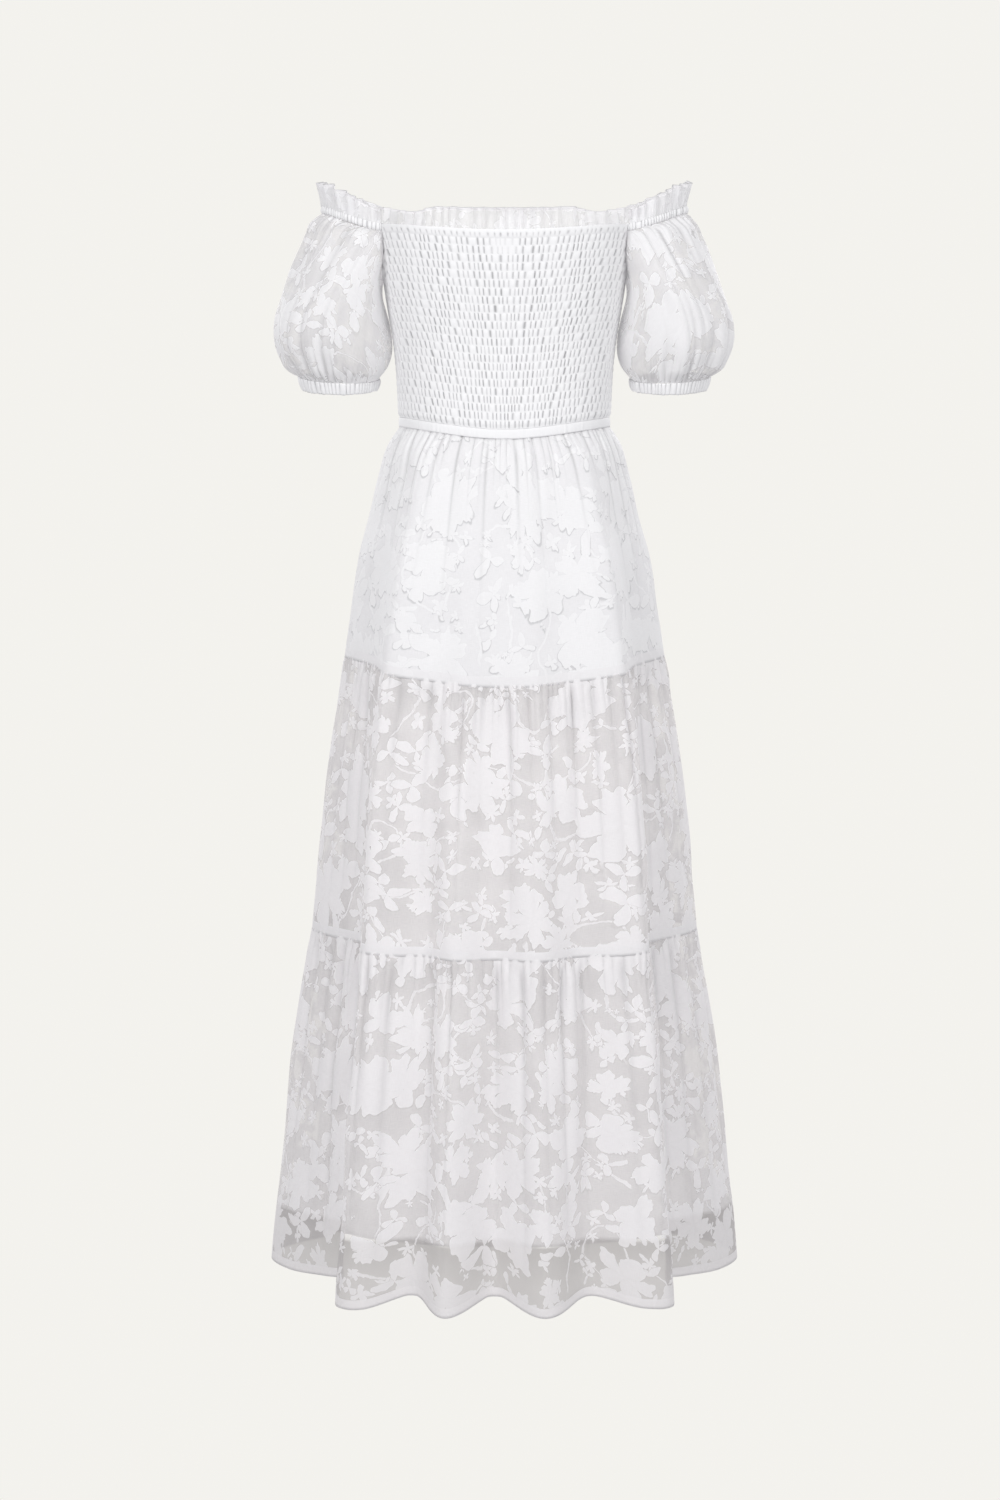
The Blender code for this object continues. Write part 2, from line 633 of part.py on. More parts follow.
def make_tiers(collection):
    """Three gathered tiers, each in a back and a front half."""
    for tier in TIERS:
        height = -seam_height(tier.bottom, np.array([90.0]))[0] + seam_height(
            tier.top, np.array([90.0])
        )[0]
        band = 1.0 - SEAM_BAND / height
        shares = np.array(sorted(set(tier.rings) | {band}))
        raised = np.where(shares >= band - 1e-9, SEAM_BAND_RAISE, 0.0)
        for half, back in (("back", True), ("front", False)):
            angles = half_turns(tier.gathers, back)
            waves = np.where(np.arange(len(angles)) % 2 == 1, 1.0, 0.0)
            grid = tier_grid(tier, angles, shares, waves)
            name = f"{tier.name}_{half}"
            walled_panel(name, grid, WALL, ORGANZA, collection, raised)


def make_lining(collection):
    """The plain slip under the skirt, in a back and a front half."""
    drops = column(LINING, "drop")
    for half, back in (("back", True), ("front", False)):
        turns = half_turns(18, back)
        top = seam_height(0, waist_angles(turns)) - SEAM_GAP
        rows = []
        for drop in drops:
            share = (drop - drops[0]) / (drops[-1] - drops[0])
            level = [smooth(drop, drops, column(LINING, name)) for name in LiningLevel._fields[1:]]
            x, y = section_point(level, turns)
            z = top + (LINING_HEM_Z - top) * share
            rows.append(np.stack([x, y, z], axis=-1))
        walled_panel(f"lining_{half}", np.array(rows), WALL, SLIP, collection)


def main():
    for old in list(bpy.data.objects):
        bpy.data.objects.remove(old, do_unlink=True)
    collection = bpy.data.collections.new("midi_dress")
    bpy.context.scene.collection.children.link(collection)
    make_bodice(collection)
    make_waistband(collection)
    make_neck(collection)
    make_sleeve("left", -1.0, collection)
    make_sleeve("right", 1.0, collection)
    make_tiers(collection)
    make_lining(collection)


main()
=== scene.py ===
"""Sheer floral dress with a smocked back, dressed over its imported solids. Metres, +Z up.

The camera looks at the garment's back, which faces -Y. The origin is at the middle of the
top opening. Every surface is a sheet of cloth: one grid of points, shaped by the same
tables as the solids and then given its own gathers, folds and turned edges. A sheet's UV
map is its flat cut in metres, so the flowers follow the cloth into its folds.
"""

import logging
import math
from dataclasses import dataclass
from enum import Enum
from typing import Optional, Sequence, Union

import bmesh
import bpy
import numpy as np
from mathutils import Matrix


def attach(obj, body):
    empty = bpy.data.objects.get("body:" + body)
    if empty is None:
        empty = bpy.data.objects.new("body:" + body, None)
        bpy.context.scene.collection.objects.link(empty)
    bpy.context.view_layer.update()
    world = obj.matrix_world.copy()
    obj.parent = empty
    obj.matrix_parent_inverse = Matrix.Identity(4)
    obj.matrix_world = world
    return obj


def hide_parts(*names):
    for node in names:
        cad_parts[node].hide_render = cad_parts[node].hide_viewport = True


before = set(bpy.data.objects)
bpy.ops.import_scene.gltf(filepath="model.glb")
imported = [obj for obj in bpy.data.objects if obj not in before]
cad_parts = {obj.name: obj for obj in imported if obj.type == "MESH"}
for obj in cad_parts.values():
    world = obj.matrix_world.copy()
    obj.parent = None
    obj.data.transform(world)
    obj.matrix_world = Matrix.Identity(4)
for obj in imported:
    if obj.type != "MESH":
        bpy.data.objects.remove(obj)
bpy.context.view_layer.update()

LOG = logging.getLogger("dress")
UV_MAP = "flat_cut"
BAND_ATTRIBUTE = "doubled"
# Each point's share of the painted shade in folds, tucks and puckers.
PAINTED_SHADE_ATTRIBUTE = "painted_fold_shade"

Array = np.ndarray
Colour = tuple[float, float, float]
Place = tuple[float, float, float]


class Half(Enum):
    """A half of the garment."""

    BACK = -90.0
    FRONT = 90.0


class Side(Enum):
    """An arm, with its direction along X as the value."""

    LEFT = -1.0
    RIGHT = 1.0


class Seam(Enum):
    """A level of the skirt where cloth starts or ends."""

    WAIST = 0
    TIER_1 = 1
    TIER_2 = 2
    HEM = 3


class Held(Enum):
    """How a sheet of cloth is held."""

    GATHERED = "gathered"
    HUNG = "hung"
    STRETCHED = "stretched"


# Shape tables, shared with the solids


@dataclass(frozen=True)
class Level:
    """A rounded section of the body at a drop below the origin."""

    drop: float
    half_width: float
    back_depth: float
    front_depth: float
    roundness: float


@dataclass(frozen=True)
class SkirtFold:
    """Radius of the skirt at one angle from the back, at two seams and the hem."""

    angle: float
    tier_1_seam: float
    tier_2_seam: float
    hem: float


@dataclass(frozen=True)
class SideWidth:
    """Half-width of the skirt's side outline at a drop."""

    drop: float
    half_width: float


@dataclass(frozen=True)
class SleeveRing:
    """One ring of a sleeve. Out is away from the body's middle."""

    outer_out: float
    outer_z: float
    inner_out: float
    inner_z: float
    half_depth: float
    lift_out: float
    lift_z: float
    back_drop: float


BODICE = (
    Level(-0.0200, 0.1420, 0.1160, 0.1180, 2.60),
    Level(0.0000, 0.1395, 0.1150, 0.1200, 2.60),
    Level(0.0650, 0.1302, 0.1080, 0.1260, 2.55),
    Level(0.0950, 0.1256, 0.1040, 0.1210, 2.50),
    Level(0.1400, 0.1184, 0.0985, 0.1090, 2.40),
    Level(0.2156, 0.1138, 0.0950, 0.0990, 2.30),
    Level(0.2600, 0.1130, 0.0950, 0.0990, 2.30),
)
SLIP_LEVELS = (
    Level(0.2260, 0.1119, 0.0934, 0.0974, 2.30),
    Level(0.2500, 0.1180, 0.0990, 0.1020, 2.25),
    Level(0.3200, 0.1350, 0.1140, 0.1160, 2.15),
    Level(0.4800, 0.1560, 0.1330, 0.1360, 2.10),
    Level(0.7800, 0.1860, 0.1500, 0.1530, 2.10),
    Level(1.0950, 0.2130, 0.1600, 0.1650, 2.10),
)
SKIRT_FOLDS = tuple(
    SkirtFold(*row)
    for row in (
        (-90.0, 0.1755, 0.2125, 0.2590),
        (-76.0, 0.1700, 0.2030, 0.2420),
        (-65.0, 0.1640, 0.1880, 0.2160),
        (-57.0, 0.1640, 0.1830, 0.2080),
        (-50.0, 0.1730, 0.1980, 0.2300),
        (-44.0, 0.1830, 0.2170, 0.2550),
        (-37.0, 0.1760, 0.2120, 0.2510),
        (-28.0, 0.1600, 0.1860, 0.2100),
        (-15.5, 0.1570, 0.1950, 0.2330),
        (-3.5, 0.1490, 0.1740, 0.1900),
        (10.0, 0.1560, 0.1950, 0.2310),
        (27.0, 0.1590, 0.1850, 0.2080),
        (37.0, 0.1760, 0.2110, 0.2480),
        (44.0, 0.1830, 0.2170, 0.2550),
        (50.0, 0.1730, 0.1980, 0.2300),
        (57.0, 0.1640, 0.1830, 0.2080),
        (65.0, 0.1640, 0.1880, 0.2160),
        (76.0, 0.1700, 0.2030, 0.2420),
        (90.0, 0.1755, 0.2125, 0.2590),
        (104.0, 0.1690, 0.2040, 0.2460),
        (117.0, 0.1620, 0.1850, 0.2140),
        (130.0, 0.1670, 0.2000, 0.2360),
        (143.0, 0.1610, 0.1850, 0.2120),
        (156.0, 0.1630, 0.1980, 0.2340),
        (169.0, 0.1560, 0.1790, 0.2020),
        (182.0, 0.1610, 0.1950, 0.2330),
        (195.0, 0.1560, 0.1790, 0.2040),
        (208.0, 0.1630, 0.1970, 0.2340),
        (221.0, 0.1610, 0.1850, 0.2120),
        (234.0, 0.1670, 0.2000, 0.2360),
        (246.0, 0.1620, 0.1850, 0.2160),
        (258.0, 0.1700, 0.2040, 0.2450),
    )
)
SIDE_WIDTHS = tuple(
    SideWidth(*row)
    for row in (
        (0.2256, 0.1132),
        (0.2473, 0.1273),
        (0.2854, 0.1405),
        (0.3180, 0.1482),
        (0.3628, 0.1600),
        (0.4076, 0.1680),
        (0.4405, 0.1717),
        (0.4767, 0.1755),
        (0.5162, 0.1832),
        (0.5691, 0.1925),
        (0.6198, 0.1998),
        (0.6895, 0.2067),
        (0.7483, 0.2106),
        (0.7765, 0.2125),
        (0.8352, 0.2245),
        (0.8921, 0.2338),
        (0.9492, 0.2408),
        (1.0064, 0.2468),
        (1.0784, 0.2546),
        (1.1400, 0.2590),
    )
)
SLEEVE_RINGS = (
    SleeveRing(0.2120, -0.0160, 0.1370, -0.0680, 0.0640, -0.0340, 0.0160, 0.0),
    SleeveRing(0.2270, -0.0460, 0.1340, -0.0820, 0.0720, -0.0240, 0.0100, 0.001),
    SleeveRing(0.2405, -0.0790, 0.1290, -0.1000, 0.0770, -0.0120, 0.0040, 0.002),
    SleeveRing(0.2512, -0.1080, 0.1245, -0.1180, 0.0780, -0.0040, 0.0000, 0.004),
    SleeveRing(0.2505, -0.1360, 0.1222, -0.1400, 0.0750, 0.0000, 0.0000, 0.006),
    SleeveRing(0.2400, -0.1570, 0.1265, -0.1590, 0.0640, 0.0000, 0.0000, 0.008),
    SleeveRing(0.2235, -0.1695, 0.1375, -0.1735, 0.0490, 0.0000, 0.0000, 0.009),
)
CUFF_EDGE = SleeveRing(0.2195, -0.1828, 0.1396, -0.1838, 0.0455, 0.0, 0.0, 0.009)

ARMHOLE_HALF_DEPTH = 0.055
UNDERARM_Z = -0.062
BACK_CORNER_Z = -0.0122
BACK_NECK_DIP = 0.0120
FRONT_NECK_Z = 0.0
CASING_HEIGHT = 0.0070
SEAM_GAP = 0.0004
BODICE_CLEARANCE = 0.0022
BAND_TOP_Z = -0.2156
BAND_HEIGHT = 0.0100
BAND_DIPS = (0.0165, 0.0060)
TIER_1_SEAM_Z = -0.4767
TIER_1_DIPS = (0.0268, 0.0100)
TIER_2_SEAM_Z = -0.7765
TIER_2_DIPS = (0.0110, 0.0060)
HEM_Z = -1.1400
HEM_LOBE_DROP = 0.0150
HEM_LOBE_REACH = 0.02
HEM_LOBE_TURNS = np.linspace(-13, 13, 9)
SLIP_HEM_Z = -1.0950
SLEEVE_TOP_OUT = 0.1971
SLEEVE_TOP_Z = 0.0121
SLEEVE_TOP_INNER_OUT = 0.1350
SLEEVE_TOP_LIFT = -0.0375


# Curves and sections


def column(rows: Sequence[object], name: str) -> Array:
    """One named column of a table, as an array."""
    return np.array([getattr(row, name) for row in rows])


def smooth(at: Array, known: Array, values: Array) -> Array:
    """Values between the rows of a table, on a smooth curve through them.

    Args:
        at: where to read the curve.
        known: the rows' positions, rising.
        values: the rows' values.

    Returns:
        One value for each position asked for.
    """
    slopes = np.gradient(values, known, axis=0)
    at = np.clip(at, known[0], known[-1])
    left = np.clip(np.searchsorted(known, at) - 1, 0, len(known) - 2)
    span = known[left + 1] - known[left]
    t = (at - known[left]) / span
    if values.ndim > 1:
        extra = (1,) * (values.ndim - 1)
        t = t.reshape(t.shape + extra)
        span = span.reshape(span.shape + extra)
    start = (2 * t**3 - 3 * t**2 + 1) * values[left] + (t**3 - 2 * t**2 + t) * span * slopes[left]
    end = (3 * t**2 - 2 * t**3) * values[left + 1] + (t**3 - t**2) * span * slopes[left + 1]
    return start + end


def step(low: float, high: float, at: Array) -> Array:
    """A soft step from 0 at low to 1 at high."""
    t = np.clip((at - low) / (high - low), 0.0, 1.0)
    return t * t * (3.0 - 2.0 * t)


def section_point(level: Sequence[Array], turn: Array) -> tuple[Array, Array]:
    """Points of a rounded section.

    Args:
        level: half-width, back depth, front depth and roundness.
        turn: degrees from the back, towards +X.

    Returns:
        The points' X and Y.
    """
    half_width, back_depth, front_depth, roundness = level
    sine = np.sin(np.radians(turn))
    cosine = np.cos(np.radians(turn))
    depth = np.where(cosine >= 0.0, back_depth, front_depth)
    x = half_width * np.sign(sine) * np.abs(sine) ** (2.0 / roundness)
    y = -depth * np.sign(cosine) * np.abs(cosine) ** (2.0 / roundness)
    return x, y


def body_level(table: Sequence[Level], drop: Array) -> tuple[Array, ...]:
    """Half-width, back depth, front depth and roundness of a table's form at a drop."""
    names = ("half_width", "back_depth", "front_depth", "roundness")
    return tuple(smooth(drop, column(table, "drop"), column(table, name)) for name in names)


def body_grid(table: Sequence[Level], drops: Array, turns: Array, heights: Array) -> Array:
    """Points of a table's form.

    Args:
        table: the form's levels.
        drops: where each point lies in the table, by row and column.
        turns: degrees round the section, one for each column.
        heights: the points' Z, by row and column.

    Returns:
        The points, by row and column.
    """
    x, y = section_point(body_level(table, drops), turns)
    return np.stack([x, y, heights], axis=-1)


def bodice_out(y: Array, z: Array) -> Array:
    """How far the bodice reaches sideways.

    Args:
        y: depths, in metres.
        z: heights, in metres.

    Returns:
        The bodice's half-width at each depth and height.
    """
    half_width, back_depth, front_depth, roundness = body_level(BODICE, -z)
    depth = np.where(y <= 0.0, back_depth, front_depth)
    rest = np.clip(1.0 - np.abs(y / depth) ** roundness, 0.0, 1.0)
    return half_width * rest ** (1.0 / roundness)


def dipped(base: float, dips: tuple[float, float], turn: Array) -> Array:
    """A seam's height, lower at the middle of the back and of the front."""
    cosine = np.cos(np.radians(turn))
    return base - np.where(cosine >= 0.0, dips[0], dips[1]) * cosine**2


def waist_angles(turn: Array) -> Array:
    """Angles seen from the vertical axis of the waist section's points."""
    x, y = section_point(body_level(BODICE, np.full_like(turn, -BAND_TOP_Z)), turn)
    return np.degrees(np.arctan2(x, -y))


def fold_radius(name: str, angle: Array) -> Array:
    """Radius of the skirt at a seam or the hem.

    Args:
        name: the column of the folds' table.
        angle: degrees from the back.

    Returns:
        The radius at each angle.
    """
    known = column(SKIRT_FOLDS, "angle")
    known = np.concatenate([known - 360.0, known, known + 360.0])
    return smooth(angle, known, np.tile(column(SKIRT_FOLDS, name), 3))


def seam_height(seam: Seam, angle: Array) -> Array:
    """Height of a level of the skirt.

    Args:
        seam: the level.
        angle: degrees from the back.

    Returns:
        The height at each angle: the hem hangs lower where its folds stand out.
    """
    if seam is Seam.WAIST:
        return dipped(BAND_TOP_Z - BAND_HEIGHT, BAND_DIPS, angle)
    if seam is Seam.TIER_1:
        return dipped(TIER_1_SEAM_Z, TIER_1_DIPS, angle)
    if seam is Seam.TIER_2:
        return dipped(TIER_2_SEAM_Z, TIER_2_DIPS, angle)
    radius = fold_radius("hem", angle)
    around = fold_radius("hem", angle[:, None] + HEM_LOBE_TURNS)
    out = np.clip((radius - around.mean(axis=1)) / HEM_LOBE_REACH, -1.0, 1.0)
    near = np.clip(np.cos(np.radians(angle)), 0.0, 1.0)
    return HEM_Z - HEM_LOBE_DROP * (0.5 + 0.5 * out) * (0.3 + 0.7 * near)


def level_radius(seam: Seam, angle: Array) -> Array:
    """Radius of the skirt at one of its levels.

    Args:
        seam: the level.
        angle: degrees from the back.

    Returns:
        The radius at each angle.
    """
    if seam is not Seam.WAIST:
        return fold_radius(("tier_1_seam", "tier_2_seam", "hem")[seam.value - 1], angle)
    turns = np.linspace(-180.0, 360.0, 2161)
    x, y = section_point(body_level(BODICE, np.full_like(turns, BAND_HEIGHT - BAND_TOP_Z)), turns)
    return np.interp(angle, np.degrees(np.unwrap(np.arctan2(x, -y))), np.hypot(x, y))


def sleeve_top_arc(angle: Array) -> tuple[Array, Array, Array]:
    """The neckline over an arm.

    Args:
        angle: degrees round the arm: 0 is at its outside and -90 at the back corner.

    Returns:
        The points' distance from the body's middle, depth and height.
    """
    cosine = np.cos(np.radians(angle))
    sine = np.sin(np.radians(angle))
    half_span = (SLEEVE_TOP_OUT - SLEEVE_TOP_INNER_OUT) / 2.0
    out = SLEEVE_TOP_OUT - half_span + half_span * cosine + SLEEVE_TOP_LIFT * sine**2
    y = ARMHOLE_HALF_DEPTH * sine
    corner = np.where(sine < 0.0, BACK_CORNER_Z, FRONT_NECK_Z)
    z = SLEEVE_TOP_Z * cosine**2 + corner * sine**2
    return np.maximum(out, bodice_out(y, z) + BODICE_CLEARANCE), y, z


def neck_path(count: int) -> Array:
    """The neckline from the right back corner by the front to the left back corner.

    Args:
        count: how many points it has.

    Returns:
        The points, evenly spaced.
    """
    out, y, z = sleeve_top_arc(np.linspace(-90.0, 90.0, 91))
    left = np.stack([-out, y, z], axis=-1)
    right = np.stack([out, y, z], axis=-1)[::-1]
    turns = np.linspace(270.0, 90.0, 361)
    front_x, front_y = section_point(body_level(BODICE, np.zeros_like(turns)), turns)
    front = np.stack([front_x, front_y, np.full_like(front_x, FRONT_NECK_Z)], axis=-1)
    front = front[front_y > ARMHOLE_HALF_DEPTH + 0.001]
    line = np.concatenate([left, front, right])[::-1]
    steps = np.linalg.norm(np.diff(line, axis=0), axis=1)
    walked = np.concatenate([[0.0], np.cumsum(steps)])
    wanted = np.linspace(0.0, walked[-1], count)
    return np.stack([np.interp(wanted, walked, line[:, k]) for k in range(3)], axis=-1)


def plan_normals(grid: Array) -> Array:
    """Outward directions in plan.

    Args:
        grid: rows of points that run anticlockwise, seen from above.

    Returns:
        A level unit vector for each point.
    """
    tangent = np.gradient(grid, axis=1)
    normal = np.stack([tangent[..., 1], -tangent[..., 0], np.zeros(grid.shape[:2])], axis=-1)
    return normal / np.linalg.norm(normal, axis=-1, keepdims=True)


def raised(grid: Array, lifts: Array) -> Array:
    """Points moved outwards in plan, each by its lift in metres."""
    return grid + plan_normals(grid) * lifts[..., None]


def tube_normals(grid: Array) -> Array:
    """Directions square to a tube, away from its middle.

    Args:
        grid: rings of points whose first and last columns meet.

    Returns:
        A unit vector for each point.
    """
    along = np.gradient(grid, axis=0)
    ring = grid[:, :-1]
    around = np.roll(ring, -1, axis=1) - np.roll(ring, 1, axis=1)
    around = np.concatenate([around, around[:, :1]], axis=1)
    normal = np.cross(around, along)
    normal /= np.linalg.norm(normal, axis=-1, keepdims=True)
    middle = grid.mean(axis=1, keepdims=True)
    inwards = np.sum(normal * (grid - middle), axis=-1).mean() < 0.0
    return -normal if inwards else normal


# Folds


@dataclass(frozen=True)
class Gathers:
    """Uneven folds side by side, deepest near the seam that gathers them.

    Fields:
        count: how many folds there are along the seam.
        depth: from valley to ridge, in metres.
        reach: how far they run from the seam before they have mostly faded.
        start: their depth at the seam itself, as a share.
        rise: how far from the seam they are deepest.
        rest: share of the depth that never fades.
        seed: picks their places.
        crease: how round the ridges are: under 1 they meet in sharp valleys, at 2 in soft ones.
        valley: how wide the valleys that get painted shade are, as a share of a ridge's height.
    """

    count: int
    depth: float
    reach: float
    start: float = 0.4
    rise: float = 0.008
    rest: float = 0.0
    seed: int = 1
    crease: float = 0.8
    valley: float = 0.25

    DRIFTS = (0.04, 0.09, 0.15, 0.24, 0.33, 0.45)
    DRIFT = 0.16

    def wander(self, along: Array, lowest: float, highest: float, key: int) -> Array:
        """A soft random line between -1 and 1 that closes on itself.

        Args:
            along: place along the seam, from 0 to 1.
            lowest: fewest waves of the line.
            highest: most waves of the line.
            key: tells one line from another.

        Returns:
            The line's height at each place.
        """
        dice = np.random.default_rng(self.seed * 101 + key)
        waves = np.unique(np.round(np.linspace(lowest, highest, 7)).astype(int))
        phases = dice.uniform(0.0, 2.0 * np.pi, len(waves))
        line = sum(np.sin(2.0 * np.pi * k * along + p) for k, p in zip(waves, phases))
        return line / np.sqrt(len(waves)) / 1.2

    def wave(self, along: Array) -> Array:
        """The folds' own rhythm, which drifts along the seam.

        Args:
            along: place along the seam, from 0 to 1.

        Returns:
            0 in the valleys between folds and 1 on the folds.
        """
        dice = np.random.default_rng(self.seed)
        phase = 2.0 * np.pi * self.count * along
        for share in self.DRIFTS:
            waves = max(1, round(self.count * share))
            phase = phase + self.DRIFT * self.count / waves * np.sin(
                2.0 * np.pi * waves * along + dice.uniform(0.0, 2.0 * np.pi)
            )
        return np.abs(np.sin(phase / 2.0))

    def run(self, along: Array, away: Array) -> Array:
        """How much of each fold is left at a distance from the seam.

        Args:
            along: place along the seam, from 0 to 1.
            away: distance from the seam, in metres.

        Returns:
            Shares from 0 to 1.
        """
        reach = self.reach * (1.0 + 0.55 * self.wander(along, 3, self.count * 0.5, 2))
        reach = np.maximum(reach, 0.25 * self.reach)
        rising = self.start + (1.0 - self.start) * step(0.0, self.rise, away)
        return rising * (self.rest + (1.0 - self.rest) * np.exp(-((away / reach) ** 1.4)))

    def height(self, along: Array, away: Array) -> Array:
        """How far the folds stand out.

        Args:
            along: place along the seam, from 0 to 1.
            away: distance from the seam, in metres.

        Returns:
            Height of the folds, in metres.
        """
        strength = np.clip(0.72 + 0.28 * self.wander(along, 2, self.count * 0.4, 1), 0.2, 1.1)
        return self.depth * self.wave(along) ** self.crease * strength * self.run(along, away)

    def valleys(self, along: Array, away: Array) -> Array:
        """How far into the valley between two folds each point lies, from 0 to 1: the share of
        painted shade it gets.
        """
        return np.exp(-((self.wave(along) / self.valley) ** 2)) * self.run(along, away)


@dataclass(frozen=True)
class Dents:
    """Soft shallow dents of crisp cloth.

    Fields:
        depth: of the dents, in metres.
        across: their width as a share of the sheet's.
        down: their height in metres.
        seed: picks their places.
    """

    depth: float
    across: float
    down: float
    seed: int

    WAVES = 9

    def height(self, along: Array, away: Array) -> Array:
        """How far each place stands out.

        Args:
            along: place along the sheet's top, from 0 to 1.
            away: distance from its top, in metres.

        Returns:
            Height of the dents, in metres.
        """
        dice = np.random.default_rng(self.seed)
        total = np.zeros(np.broadcast(along, away).shape)
        for _ in range(self.WAVES):
            waves = max(1, round(dice.uniform(0.5, 1.5) / self.across))
            tilt = dice.uniform(-1.0, 1.0)
            turn = 2.0 * np.pi * (waves * along + tilt * away / self.down)
            lift = np.cos(np.pi * away / self.down * dice.uniform(0.4, 1.2))
            total += np.sin(turn + dice.uniform(0.0, 2.0 * np.pi)) * lift
        return self.depth * total / 4.0


# Shader expressions


class Wire:
    """A shader socket that takes part in Python sums, each of which adds its Math node."""

    def __init__(self, plan: "Plan", socket: bpy.types.NodeSocket) -> None:
        """Keeps the socket and the plan that its sums are added to."""
        self.plan = plan
        self.socket = socket

    def __add__(self, other: "Number") -> "Wire":
        """Sum."""
        return self.plan.math("ADD", self, other)

    __radd__ = __add__

    def __sub__(self, other: "Number") -> "Wire":
        """Difference."""
        return self.plan.math("SUBTRACT", self, other)

    def __rsub__(self, other: "Number") -> "Wire":
        """Difference from a number."""
        return self.plan.math("SUBTRACT", other, self)

    def __mul__(self, other: "Number") -> "Wire":
        """Product."""
        return self.plan.math("MULTIPLY", self, other)

    __rmul__ = __mul__

    def __truediv__(self, other: "Number") -> "Wire":
        """Quotient."""
        return self.plan.math("DIVIDE", self, other)

    def __pow__(self, other: "Number") -> "Wire":
        """Power."""
        return self.plan.math("POWER", self, other)

    def __abs__(self) -> "Wire":
        """Size without its sign."""
        return self.plan.math("ABSOLUTE", self)

    def sine(self) -> "Wire":
        """Sine of an angle in radians."""
        return self.plan.math("SINE", self)

    def cosine(self) -> "Wire":
        """Cosine of an angle in radians."""
        return self.plan.math("COSINE", self)

    def least(self, other: "Number") -> "Wire":
        """The smaller of two."""
        return self.plan.math("MINIMUM", self, other)

    def most(self, other: "Number") -> "Wire":
        """The larger of two."""
        return self.plan.math("MAXIMUM", self, other)

    def over(self, limit: float, edge: float) -> "Wire":
        """1 where this is over the limit and 0 where it is under, soft over the edge's width."""
        return self.plan.math("MULTIPLY_ADD", self, 1.0 / edge, 0.5 - limit / edge, clamp=True)


Number = Union[float, Wire]
Inputs = dict[Union[str, int], object]
Tint = Union[Colour, bpy.types.NodeSocket]


